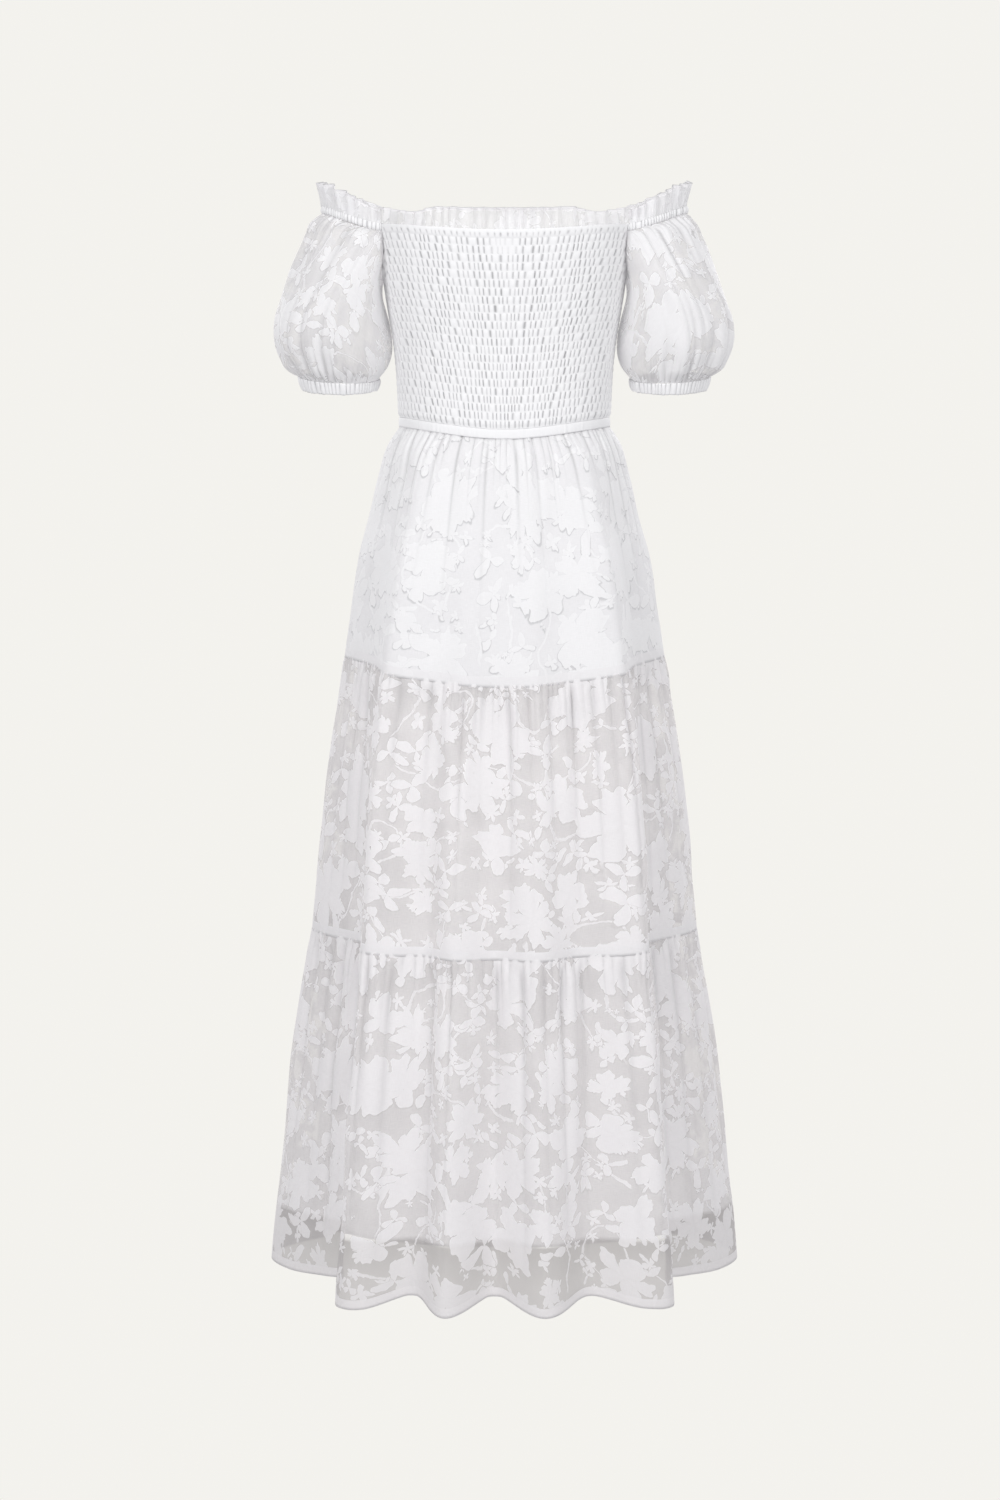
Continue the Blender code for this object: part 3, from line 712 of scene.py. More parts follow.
class Plan:
    """The nodes of one material."""

    THREAD_RUN = 18.0

    def __init__(self, name: str) -> None:
        """Starts an empty material.

        Args:
            name: the material's name.
        """
        self.material = bpy.data.materials.new(name)
        self.material.use_nodes = True
        self.tree = self.material.node_tree
        self.tree.nodes.clear()

    def node(self, kind: str, settings: dict[str, object], inputs: Inputs) -> bpy.types.Node:
        """Adds one node.

        Args:
            kind: the node's type.
            settings: what is set on the node itself, first.
            inputs: values or links of its sockets, by name or number.

        Returns:
            The node.
        """
        made = self.tree.nodes.new(kind)
        for name, value in settings.items():
            setattr(made, name, value)
        for key, value in inputs.items():
            socket = made.inputs[key]
            if isinstance(value, Wire):
                self.tree.links.new(value.socket, socket)
            elif isinstance(value, bpy.types.NodeSocket):
                self.tree.links.new(value, socket)
            else:
                socket.default_value = value
        return made

    def math(self, operation: str, *values: Number, clamp: bool = False) -> Wire:
        """One Math node.

        Args:
            operation: what it works out.
            values: up to three numbers or wires.
            clamp: whether the result is kept from 0 to 1.

        Returns:
            The result.
        """
        settings = {"operation": operation, "use_clamp": clamp}
        made = self.node("ShaderNodeMath", settings, dict(enumerate(values)))
        return Wire(self, made.outputs[0])

    def vector(self, operation: str, *values: object) -> bpy.types.NodeSocket:
        """One Vector Math node, as its vector output."""
        made = self.node("ShaderNodeVectorMath", {"operation": operation}, dict(enumerate(values)))
        return made.outputs["Vector"]

    def parts(self, vector: bpy.types.NodeSocket) -> tuple[Wire, Wire, Wire]:
        """The parts of a vector.

        Args:
            vector: the vector's socket.

        Returns:
            Its X, Y and Z.
        """
        made = self.node("ShaderNodeSeparateXYZ", {}, {0: vector})
        x, y, z = (Wire(self, made.outputs[k]) for k in range(3))
        return x, y, z

    def joined(self, x: Number, y: Number, z: Number = 0.0) -> bpy.types.NodeSocket:
        """A vector from its parts."""
        return self.node("ShaderNodeCombineXYZ", {}, {0: x, 1: y, 2: z}).outputs[0]

    def flat_cut(self) -> bpy.types.NodeSocket:
        """The sheet's place in its flat cut, in metres."""
        return self.node("ShaderNodeUVMap", {"uv_map": UV_MAP}, {}).outputs["UV"]

    def attribute(self, name: str) -> Wire:
        """A number kept on the mesh's points, or 0 where the mesh has none of that name."""
        made = self.node("ShaderNodeAttribute", {"attribute_name": name}, {})
        return Wire(self, made.outputs["Fac"])

    def noise(
        self, place: bpy.types.NodeSocket, scale: float, detail: float = 1.0
    ) -> bpy.types.Node:
        """Flat noise of one scale.

        Args:
            place: where it is read.
            scale: in waves a metre.
            detail: how many finer waves lie on it.

        Returns:
            The noise's node.
        """
        return self.node(
            "ShaderNodeTexNoise",
            {"noise_dimensions": "2D", "normalize": True},
            {"Vector": place, "Scale": scale, "Detail": detail, "Roughness": 0.5},
        )

    def noise_value(self, place: bpy.types.NodeSocket, scale: float, detail: float = 1.0) -> Wire:
        """The value of flat noise of one scale."""
        return Wire(self, self.noise(place, scale, detail).outputs[0])

    def colour(self, share: Number, first: Tint, second: Tint) -> bpy.types.NodeSocket:
        """A mix of two colours.

        Args:
            share: how much of the second it has.
            first: a colour, or the socket of one.
            second: the other.

        Returns:
            The mixed colour.
        """
        ends = [(*end, 1.0) if isinstance(end, tuple) else end for end in (first, second)]
        made = self.node("ShaderNodeMix", {"data_type": "RGBA"}, {0: share, 6: ends[0], 7: ends[1]})
        return made.outputs[2]

    def bump(self, height: Wire, strength: float, distance: float) -> bpy.types.NodeSocket:
        """A normal raised by a height."""
        inputs = {"Strength": strength, "Distance": distance, "Height": height}
        return self.node("ShaderNodeBump", {}, inputs).outputs[0]

    def mixed(
        self, share: Number, first: bpy.types.NodeSocket, second: bpy.types.NodeSocket
    ) -> bpy.types.NodeSocket:
        """A mix of two shaders.

        Args:
            share: how much of the second it has.
            first: a shader.
            second: the other.

        Returns:
            The mixed shader.
        """
        return self.node("ShaderNodeMixShader", {}, {0: share, 1: first, 2: second}).outputs[0]

    def threads(self, place: bpy.types.NodeSocket, pitch: float) -> Wire:
        """Uneven warp and weft threads, from 0 to 1.

        Args:
            place: place in the flat cut.
            pitch: distance from thread to thread, in metres.

        Returns:
            How high the woven surface is.
        """
        u, v, _ = self.parts(place)
        scale = 1.0 / pitch
        slow = scale / self.THREAD_RUN
        warp = self.noise_value(self.joined(u * scale, v * slow), 1.0, 0.0)
        weft = self.noise_value(self.joined(u * slow, v * scale), 1.0, 0.0)
        return (warp + weft) * 0.5

    def finish(self, surface: bpy.types.NodeSocket) -> bpy.types.Material:
        """Puts the surface on the material's output."""
        self.node("ShaderNodeOutputMaterial", {}, {"Surface": surface})
        return self.material


# Flowers in the cloth


@dataclass(frozen=True)
class Bloom:
    """One scatter of flowers or leaves, in metres of flat cloth.

    Fields:
        cell: distance between neighbours.
        jitter: how far they stray from an even grid, from 0 to 1.
        size: from the middle to the longest lobe's tip.
        lobes: fewest petals or leaves on one stalk.
        more_lobes: how many more some of them have.
        notch: how far in the gaps between lobes reach, as a share of size.
        taper: how pointed the lobes are.
        ruffle: how uneven the lobes' edges are.
        tilt: how much some are drawn in from one side.
        rim: width of the sheer line round them, or under 0 where smaller ones run into them.
        shift: moves the scatter, so that no two start alike.
    """

    cell: float
    jitter: float
    size: float
    lobes: int
    more_lobes: int
    notch: float
    taper: float
    ruffle: float
    tilt: float
    rim: float
    shift: tuple[float, float]


BLOOMS = (
    Bloom(0.098, 0.80, 0.0430, 4, 3, 0.38, 0.50, 0.12, 0.45, -0.0030, (0.31, 0.17)),
    Bloom(0.072, 0.80, 0.0330, 4, 3, 0.40, 0.65, 0.13, 0.60, -0.0020, (1.73, 2.41)),
    Bloom(0.058, 0.80, 0.0300, 3, 1, 0.06, 1.90, 0.10, 0.40, 0.0010, (3.19, 0.83)),
    Bloom(0.043, 0.90, 0.0230, 2, 2, 0.03, 2.80, 0.10, 0.30, 0.0010, (5.03, 4.27)),
    Bloom(0.030, 0.90, 0.0100, 4, 2, 0.30, 1.30, 0.14, 0.40, 0.0008, (7.61, 6.13)),
)
TURN = 6.283


@dataclass(frozen=True)
class FloralPattern:
    """Dense flowers, leaves and stems on a sheer ground.

    Fields:
        blooms: the scatters, the topmost first.
        wide: how much the cloth's width is drawn in before they are laid.
        edge: width of the soft edge of a flower, in metres.
        shadow_reach: how far a flower's shadow falls below it, in metres.
        shadow_edge: width of the shadow's soft edge, in metres.
        crowding: how far blooms may reach into their neighbours' cells.
        bend_scale: waves a metre of the unevenness of all outlines.
        bend: how far it moves them, in metres.
        stem_scale: waves a metre of the stems' curves.
        stem_width: width of a stem, as a share of a wave's height.
        stem_cover: how dense the stems are.
    """

    blooms: tuple[Bloom, ...] = BLOOMS
    wide: float = 0.82
    edge: float = 0.0007
    shadow_reach: float = 0.0024
    shadow_edge: float = 0.0014
    crowding: float = 1.06
    bend_scale: float = 21.0
    bend: float = 0.024
    stem_scale: float = 15.0
    stem_width: float = 0.0130
    stem_cover: float = 0.92

    def scatter(
        self, plan: Plan, place: bpy.types.NodeSocket, bloom: Bloom
    ) -> tuple[Wire, Wire, Wire]:
        """One scatter of blooms.

        Args:
            plan: the material's nodes.
            place: place in the flat cut.
            bloom: what is scattered.

        Returns:
            Where the blooms are, the same with a rim round each, and the same moved down a
            little as their shadow.
        """
        at = plan.vector("ADD", place, (*bloom.shift, 0.0))
        settings = {"voronoi_dimensions": "2D", "feature": "F1"}
        inputs = {"Vector": at, "Scale": 1.0 / bloom.cell, "Randomness": bloom.jitter}
        nearest = plan.node("ShaderNodeTexVoronoi", settings, inputs)
        settings = {"voronoi_dimensions": "2D", "feature": "N_SPHERE_RADIUS"}
        room = Wire(plan, plan.node("ShaderNodeTexVoronoi", settings, inputs).outputs["Radius"])
        red, green, blue = plan.parts(nearest.outputs["Color"])
        offset = plan.vector("SUBTRACT", at, nearest.outputs["Position"])
        turned = plan.node(
            "ShaderNodeVectorRotate",
            {"rotation_type": "Z_AXIS"},
            {"Vector": offset, "Angle": red * TURN},
        ).outputs[0]
        x, y, _ = plan.parts(turned)
        y = y * (green * bloom.tilt + 1.0)
        away = (x * x + y * y) ** 0.5
        angle = plan.math("ARCTAN2", y, x)
        lobes = plan.math("FLOOR", blue * (bloom.more_lobes - 0.01)) + bloom.lobes
        lobe = abs((angle * lobes * 0.5).cosine())
        ruffled = (angle * (lobes * 2.0 + 1.0) + green * 9.0).sine()
        ruffled = ruffled + (angle * (lobes * 3.0 + 2.0) + blue * 9.0).sine() * 0.7
        size = (room * (bloom.cell * self.crowding)).least(bloom.size) * (red * 0.25 + 0.78)
        outline = size * (lobe**bloom.taper * (1.0 - bloom.notch) + bloom.notch)
        inside = outline * (ruffled * (bloom.ruffle * 0.5) + 1.0) - away
        _, over, _ = plan.parts(offset)
        shadow = (inside - over / away * self.shadow_reach).over(-0.0002, self.shadow_edge)
        solid = inside.over(0.0, self.edge) * (lobe * 0.05 + 0.95)
        return solid, inside.over(-bloom.rim, self.edge), shadow

    def stems(self, plan: Plan, place: bpy.types.NodeSocket) -> Wire:
        """Thin curved stems that come and go.

        Args:
            plan: the material's nodes.
            place: place in the flat cut.

        Returns:
            1 on the stems and 0 beside them.
        """
        at = plan.vector("ADD", place, (11.3, 8.7, 0.0))
        line = abs(plan.noise_value(at, self.stem_scale, 0.0) - 0.5)
        thin = 1.0 - line.over(self.stem_width, 0.006)
        there = plan.noise_value(place, 9.0, 0.0).over(0.44, 0.02)
        return thin * there

    def cover(self, plan: Plan) -> tuple[Wire, Wire]:
        """Where the cloth is dense, and where the dense cloth shades what lies under it.

        Args:
            plan: the material's nodes.

        Returns:
            Two shares, from 0 on the sheer ground to 1 in a flower or a full shadow.
        """
        flat = plan.vector("MULTIPLY", plan.flat_cut(), (self.wide, 1.0, 1.0))
        uneven = plan.noise(flat, self.bend_scale, 4.0).outputs["Color"]
        bend = plan.vector("SUBTRACT", uneven, (0.5, 0.5, 0.5))
        bend = plan.vector("MULTIPLY", bend, (self.bend, self.bend, 0.0))
        place = plan.vector("ADD", flat, bend)
        total, taken, shade = self.scatter(plan, place, self.blooms[0])
        for bloom in self.blooms[1:]:
            solid, rim, shadow = self.scatter(plan, place, bloom)
            free = 1.0 - taken
            total = total.most(solid * free)
            shade = shade.most(shadow * free)
            taken = taken.most(rim)
        total = total.most(self.stems(plan, place) * (1.0 - taken) * self.stem_cover)
        return total, shade * (1.0 - total)


# Finishes


@dataclass(frozen=True)
class SheerFloral:
    """Sheer organza with denser woven flowers.

    Fields:
        name: the material's name.
        ground_alpha: how much the sheer ground hides.
        flower_alpha: how much the flowers hide.
        doubled_alpha: how much a turned edge hides.
        ground: colour of the sheer ground.
        flower: colour of the flowers.
        doubled: colour of a turned edge.
        shaded: colour of the ground beside a flower's lower edge.
        shadow: how strong that shade is.
        painted_fold_shade: how strong the painted shade in the valleys between folds is, against
            the open cloth.
        valley: colour of that painted shade.
        hem: height under which nothing pale lies behind the cloth, which is painted greyer there as
            painted shade.
        hem_alpha: how much the cloth hides there, so that the painted shade shows.
        shaded_hem_ground: colour of the ground just below that height, in painted shade.
        shaded_hem_foot: colour of the ground at the hem, in lighter painted shade.
        shaded_hem_flower: colour of the flowers there, in painted shade.
        shaded_hem_doubled: colour of the hem's turned edge, in painted shade.
        foot_drop: how far below that height the ground is halfway to its colour at the hem.
        foot_span: how far it takes to change.
        glow: share of the light that passes through the threads.
        roughness: of the flowers.
        sheen: of the threads.
        thread_pitch: distance from thread to thread, in metres.
        thread_alpha: how unevenly the threads hide what is behind them.
        pattern: the flowers.
    """

    name: str
    ground_alpha: float = 0.56
    flower_alpha: float = 0.97
    doubled_alpha: float = 0.93
    ground: Colour = (0.90, 0.875, 0.868)
    flower: Colour = (0.965, 0.950, 0.957)
    doubled: Colour = (0.965, 0.955, 0.962)
    shaded: Colour = (0.70, 0.678, 0.67)
    shadow: float = 0.5
    painted_fold_shade: float = 0.28
    valley: Colour = (0.25, 0.25, 0.26)
    hem: float = -1.0795
    hem_alpha: float = 0.84
    shaded_hem_ground: Colour = (0.475, 0.452, 0.440)
    shaded_hem_foot: Colour = (0.61, 0.585, 0.572)
    shaded_hem_flower: Colour = (0.885, 0.864, 0.865)
    shaded_hem_doubled: Colour = (0.95, 0.930, 0.930)
    foot_drop: float = 0.026
    foot_span: float = 0.036
    glow: float = 0.24
    roughness: float = 0.66
    sheen: float = 0.10
    thread_pitch: float = 0.00042
    thread_alpha: float = 0.16
    pattern: FloralPattern = FloralPattern()

    def build(self) -> bpy.types.Material:
        """Makes the material.

        Returns:
            The material, with alpha, colour and weave from its nodes.
        """
        plan = Plan(self.name)
        cover, shade = self.pattern.cover(plan)
        threads = plan.threads(plan.flat_cut(), self.thread_pitch)
        doubled = plan.attribute(BAND_ATTRIBUTE)
        spread = self.flower_alpha - self.ground_alpha
        woven = threads * self.thread_alpha + (self.ground_alpha - self.thread_alpha / 2.0)
        alpha = cover * spread + woven
        # Painted shade: below the height that self.hem gives, the cloth is painted greyer and hides
        # more, and its ground lightens again further down.
        coordinates = plan.node("ShaderNodeTexCoord", {}, {})
        height = plan.parts(coordinates.outputs["Object"])[2]
        low = (0.0 - height).over(-self.hem, 0.005)
        alpha = alpha.most(doubled * self.doubled_alpha).most(low * self.hem_alpha).least(1.0)
        ground = plan.colour(shade * self.shadow, self.ground, self.shaded)
        foot = (0.0 - height).over(self.foot_drop - self.hem, self.foot_span)
        ground = plan.colour(low, ground, plan.colour(foot, self.shaded_hem_ground, self.shaded_hem_foot))
        flower = plan.colour(low, self.flower, self.shaded_hem_flower)
        edge = plan.colour(low, self.doubled, self.shaded_hem_doubled)
        colour = plan.colour(doubled, plan.colour(cover, ground, flower), edge)
        # Painted shade in the valleys between folds, by the share that the mesh keeps for it.
        colour = plan.colour(plan.attribute(PAINTED_SHADE_ATTRIBUTE) * self.painted_fold_shade, colour, self.valley)
        bump = plan.bump(threads, 0.25, 0.0003)
        front = plan.node(
            "ShaderNodeBsdfPrincipled",
            {},
            {
                "Base Color": colour,
                "Roughness": (1.0 - cover) * -0.12 + self.roughness,
                "Normal": bump,
                "Specular IOR Level": 0.25,
                "Sheen Weight": self.sheen,
                "Sheen Roughness": 0.4,
            },
        )
        through = plan.node("ShaderNodeBsdfTranslucent", {}, {"Color": (*self.flower, 1.0)})
        threads_lit = plan.mixed(self.glow, front.outputs[0], through.outputs[0])
        clear = plan.node("ShaderNodeBsdfTransparent", {}, {})
        return plan.finish(plan.mixed(alpha, clear.outputs[0], threads_lit))


@dataclass(frozen=True)
class PlainCloth:
    """Opaque woven cloth, with slubs, fine puckers and a shade that drifts.

    Fields:
        name: the material's name.
        light: colour of its highest threads.
        dark: colour between its threads.
        roughness: of the surface.
        thread_pitch: distance from thread to thread, in metres.
        pucker: height of the fine puckers beside the weave's.
        sheen: of the threads.
        painted_fold_shade: colour of the painted shade in the folds that the mesh marks.
        drift_scale: waves a metre of the shade that drifts.
        pucker_scale: waves a metre of the puckers, across and down.
    """

    name: str
    light: Colour
    dark: Colour
    roughness: float
    thread_pitch: float
    pucker: float
    sheen: float = 0.1
    painted_fold_shade: Colour = (0.30, 0.30, 0.31)
    drift_scale: float = 34.0
    pucker_scale: tuple[float, float] = (420.0, 60.0)

    def build(self) -> bpy.types.Material:
        """Makes the material.

        Returns:
            The material, with shade, roughness and weave from its nodes.
        """
        plan = Plan(self.name)
        flat = plan.flat_cut()
        threads = plan.threads(flat, self.thread_pitch)
        drift = plan.noise_value(flat, self.drift_scale, 2.0)
        u, v, _ = plan.parts(flat)
        wide, high = self.pucker_scale
        puckers = plan.noise_value(plan.joined(u * wide, v * high), 1.0, 1.0)
        woven = plan.colour((threads * 0.5 + drift * 0.5).least(1.0), self.dark, self.light)
        # Painted shade in the folds, tucks and puckers that the mesh marks.
        shader = plan.node(
            "ShaderNodeBsdfPrincipled",
            {},
            {
                "Base Color": plan.colour(plan.attribute(PAINTED_SHADE_ATTRIBUTE), woven, self.painted_fold_shade),
                "Roughness": threads * 0.16 + (self.roughness - 0.08),
                "Normal": plan.bump(threads * 0.4 + puckers * self.pucker, 0.35, 0.0005),
                "Specular IOR Level": 0.25,
                "Sheen Weight": self.sheen,
                "Sheen Roughness": 0.5,
            },
        )
        return plan.finish(shader.outputs[0])


SHEER = SheerFloral("sheer_floral_cloth")
# The skirt's organza again, painted whiter and more opaque for the first tier, where the lit slip
# lies close behind it: painted light.
CLOSE_LIT_FLORAL = SheerFloral(
    "close_lit_floral_cloth",
    ground_alpha=0.88,
    ground=(0.98, 0.975, 0.985),
    flower=(0.992, 0.99, 0.995),
    shaded=(0.64, 0.64, 0.65),
    shadow=0.85,
    painted_fold_shade=0.48,
)
# The skirt's organza again, painted darker for the frill: painted shade.
FRILL_CLOTH = SheerFloral(
    "frill_cloth",
    ground_alpha=0.72,
    flower_alpha=0.86,
    ground=(0.84, 0.835, 0.84),
    flower=(0.93, 0.925, 0.935),
    shaded=(0.79, 0.79, 0.80),
    shadow=0.3,
    painted_fold_shade=0.26,
    glow=0.25,
)
LINED_FLORAL = SheerFloral(
    "lined_floral_cloth",
    ground_alpha=1.0,
    flower_alpha=1.0,
    doubled_alpha=1.0,
    ground=(0.885, 0.88, 0.89),
    shaded=(0.62, 0.62, 0.63),
    glow=0.0,
)
# The skirt's organza again, painted darker for the sleeves, with stronger painted shade in the
# folds: painted shade.
SLEEVE_CLOTH = SheerFloral(
    "sleeve_cloth",
    ground=(0.83, 0.815, 0.815),
    flower=(0.93, 0.925, 0.93),
    shaded=(0.62, 0.605, 0.60),
    shadow=0.7,
    painted_fold_shade=0.42,
)
SMOCKED = PlainCloth("smocked_cloth", (0.928, 0.925, 0.93), (0.893, 0.89, 0.898), 0.78, 0.0005, 0.5)
TRIM = PlainCloth("trim_cloth", (0.908, 0.905, 0.912), (0.873, 0.87, 0.878), 0.74, 0.0005, 0.7)
SLIP_CLOTH = PlainCloth("slip_cloth", (0.96, 0.95, 0.945), (0.93, 0.92, 0.915), 0.55, 0.0004, 0.2)


# Making a sheet


@dataclass(frozen=True)
class Cut:
    """A sheet's flat cut and how it is held."""

    width: float
    length: float
    held: Held
    rests_on: tuple[str, ...] = ()
    area: Optional[float] = None


@dataclass
class Sheet:
    """One piece of cloth: a grid of points with its flat cut.

    Fields:
        name: the piece's name.
        points: rows by columns by three, in metres.
        across: each column's place in the flat cut, from 0 to 1, by row or not.
        down: each row's distance from the top in the flat cut, in metres.
        cut: the flat cut.
        doubled: where the cloth lies double, from 0 to 1, by row.
        painted_fold_shade: how much painted shade each point gets in its folds, from 0 to 1, by row
            and column.
        closed: whether the first and last columns meet.
        wall: thickness given by a Solidify modifier, or 0 for one layer.
    """

    name: str
    points: Array
    across: Array
    down: Array
    cut: Cut
    doubled: Optional[Array] = None
    painted_fold_shade: Optional[Array] = None
    closed: bool = False
    wall: float = 0.0

    VOTERS = 400

    def build(self, material: bpy.types.Material) -> bpy.types.Object:
        """Makes the object: a grid moved to its points, with its UV map and attributes.

        Args:
            material: the cloth.

        Returns:
            The object, at the origin and linked to the scene.
        """
        rows, columns = self.points.shape[:2]
        mesh = bmesh.new()
        mesh.loops.layers.uv.new(UV_MAP)
        bmesh.ops.create_grid(mesh, x_segments=columns - 1, y_segments=rows - 1, size=0.5)
        data = bpy.data.meshes.new(self.name)
        mesh.to_mesh(data)
        mesh.free()
        flat = np.empty(len(data.vertices) * 3, np.float32)
        data.vertices.foreach_get("co", flat)
        flat = flat.reshape(-1, 3)
        over = np.rint((flat[:, 0] + 0.5) * (columns - 1)).astype(int)
        under = np.rint((flat[:, 1] + 0.5) * (rows - 1)).astype(int)
        data.vertices.foreach_set("co", self.points[under, over].astype(np.float32).ravel())
        self.write_flat_cut(data, under, over)
        if self.doubled is not None:
            self.write_attribute(data, BAND_ATTRIBUTE, self.doubled[under])
        if self.painted_fold_shade is not None:
            self.write_attribute(data, PAINTED_SHADE_ATTRIBUTE, self.painted_fold_shade[under, over])
        self.tidy(data)
        data.materials.append(material)
        piece = bpy.data.objects.new(self.name, data)
        bpy.context.scene.collection.objects.link(piece)
        if self.wall:
            solidify = piece.modifiers.new("wall", "SOLIDIFY")
            solidify.thickness = self.wall
            solidify.offset = 0.0
        return piece

    @staticmethod
    def write_attribute(data: bpy.types.Mesh, name: str, values: Array) -> None:
        """Keeps a number for each point of the mesh."""
        kept = data.attributes.new(name, "FLOAT", "POINT")
        kept.data.foreach_set("value", values.astype(np.float32))

    def write_flat_cut(self, data: bpy.types.Mesh, under: Array, over: Array) -> None:
        """Writes each corner's place in the flat cut to the UV map.

        Args:
            data: the mesh.
            under: each point's row.
            over: each point's column.
        """
        shape = self.points.shape[:2]
        across = np.broadcast_to(self.across, shape) * self.cut.width
        down = np.broadcast_to(self.down if self.down.ndim > 1 else self.down[:, None], shape)
        corners = np.empty(len(data.loops), np.int32)
        data.loops.foreach_get("vertex_index", corners)
        rows, columns = under[corners], over[corners]
        place = np.stack([across[rows, columns], -down[rows, columns]], axis=-1)
        data.uv_layers[UV_MAP].data.foreach_set("uv", place.astype(np.float32).ravel())

    def tidy(self, data: bpy.types.Mesh) -> None:
        """Merges a closed sheet's seam and turns its faces outwards.

        Args:
            data: the mesh.
        """
        mesh = bmesh.new()
        mesh.from_mesh(data)
        if self.closed:
            edge = [v for v in mesh.verts if v.is_boundary]
            bmesh.ops.remove_doubles(mesh, verts=edge, dist=1e-6)
        mesh.faces.ensure_lookup_table()
        middle = self.points.reshape(-1, 3).mean(axis=0)
        votes = 0.0
        for face in list(mesh.faces)[:: max(1, len(mesh.faces) // self.VOTERS)]:
            out = np.array(face.calc_center_median()) - middle
            votes += float(np.dot(np.array(face.normal)[:2], out[:2]))
        if votes < 0.0:
            bmesh.ops.reverse_faces(mesh, faces=mesh.faces)
        for face in mesh.faces:
            face.smooth = True
        mesh.to_mesh(data)
        mesh.free()


def dress_piece(sheet: Sheet, material: bpy.types.Material, slot: str, *nodes: str) -> None:
    """Builds a sheet, hangs it from the root body and hides the solids that it stands for.

    Args:
        sheet: the piece of cloth.
        material: its finish.
        slot: not used.
        nodes: the solids that it stands for.
    """
    piece = sheet.build(material)
    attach(piece, "root")
    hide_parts(*nodes)
    LOG.info("%s: %d faces", sheet.name, len(piece.data.polygons))


def rows_between(stops: Sequence[tuple[float, float]]) -> Array:
    """Row places with a spacing of their own in each stretch.

    Args:
        stops: the end of each stretch and the spacing up to it.

    Returns:
        The places, from 0 to the last stop.
    """
    places = [np.zeros(1)]
    start = 0.0
    for end, spacing in stops:
        count = max(1, round((end - start) / spacing))
        places.append(np.linspace(start, end, count + 1)[1:])
        start = end
    return np.concatenate(places)


# Sub-assemblies


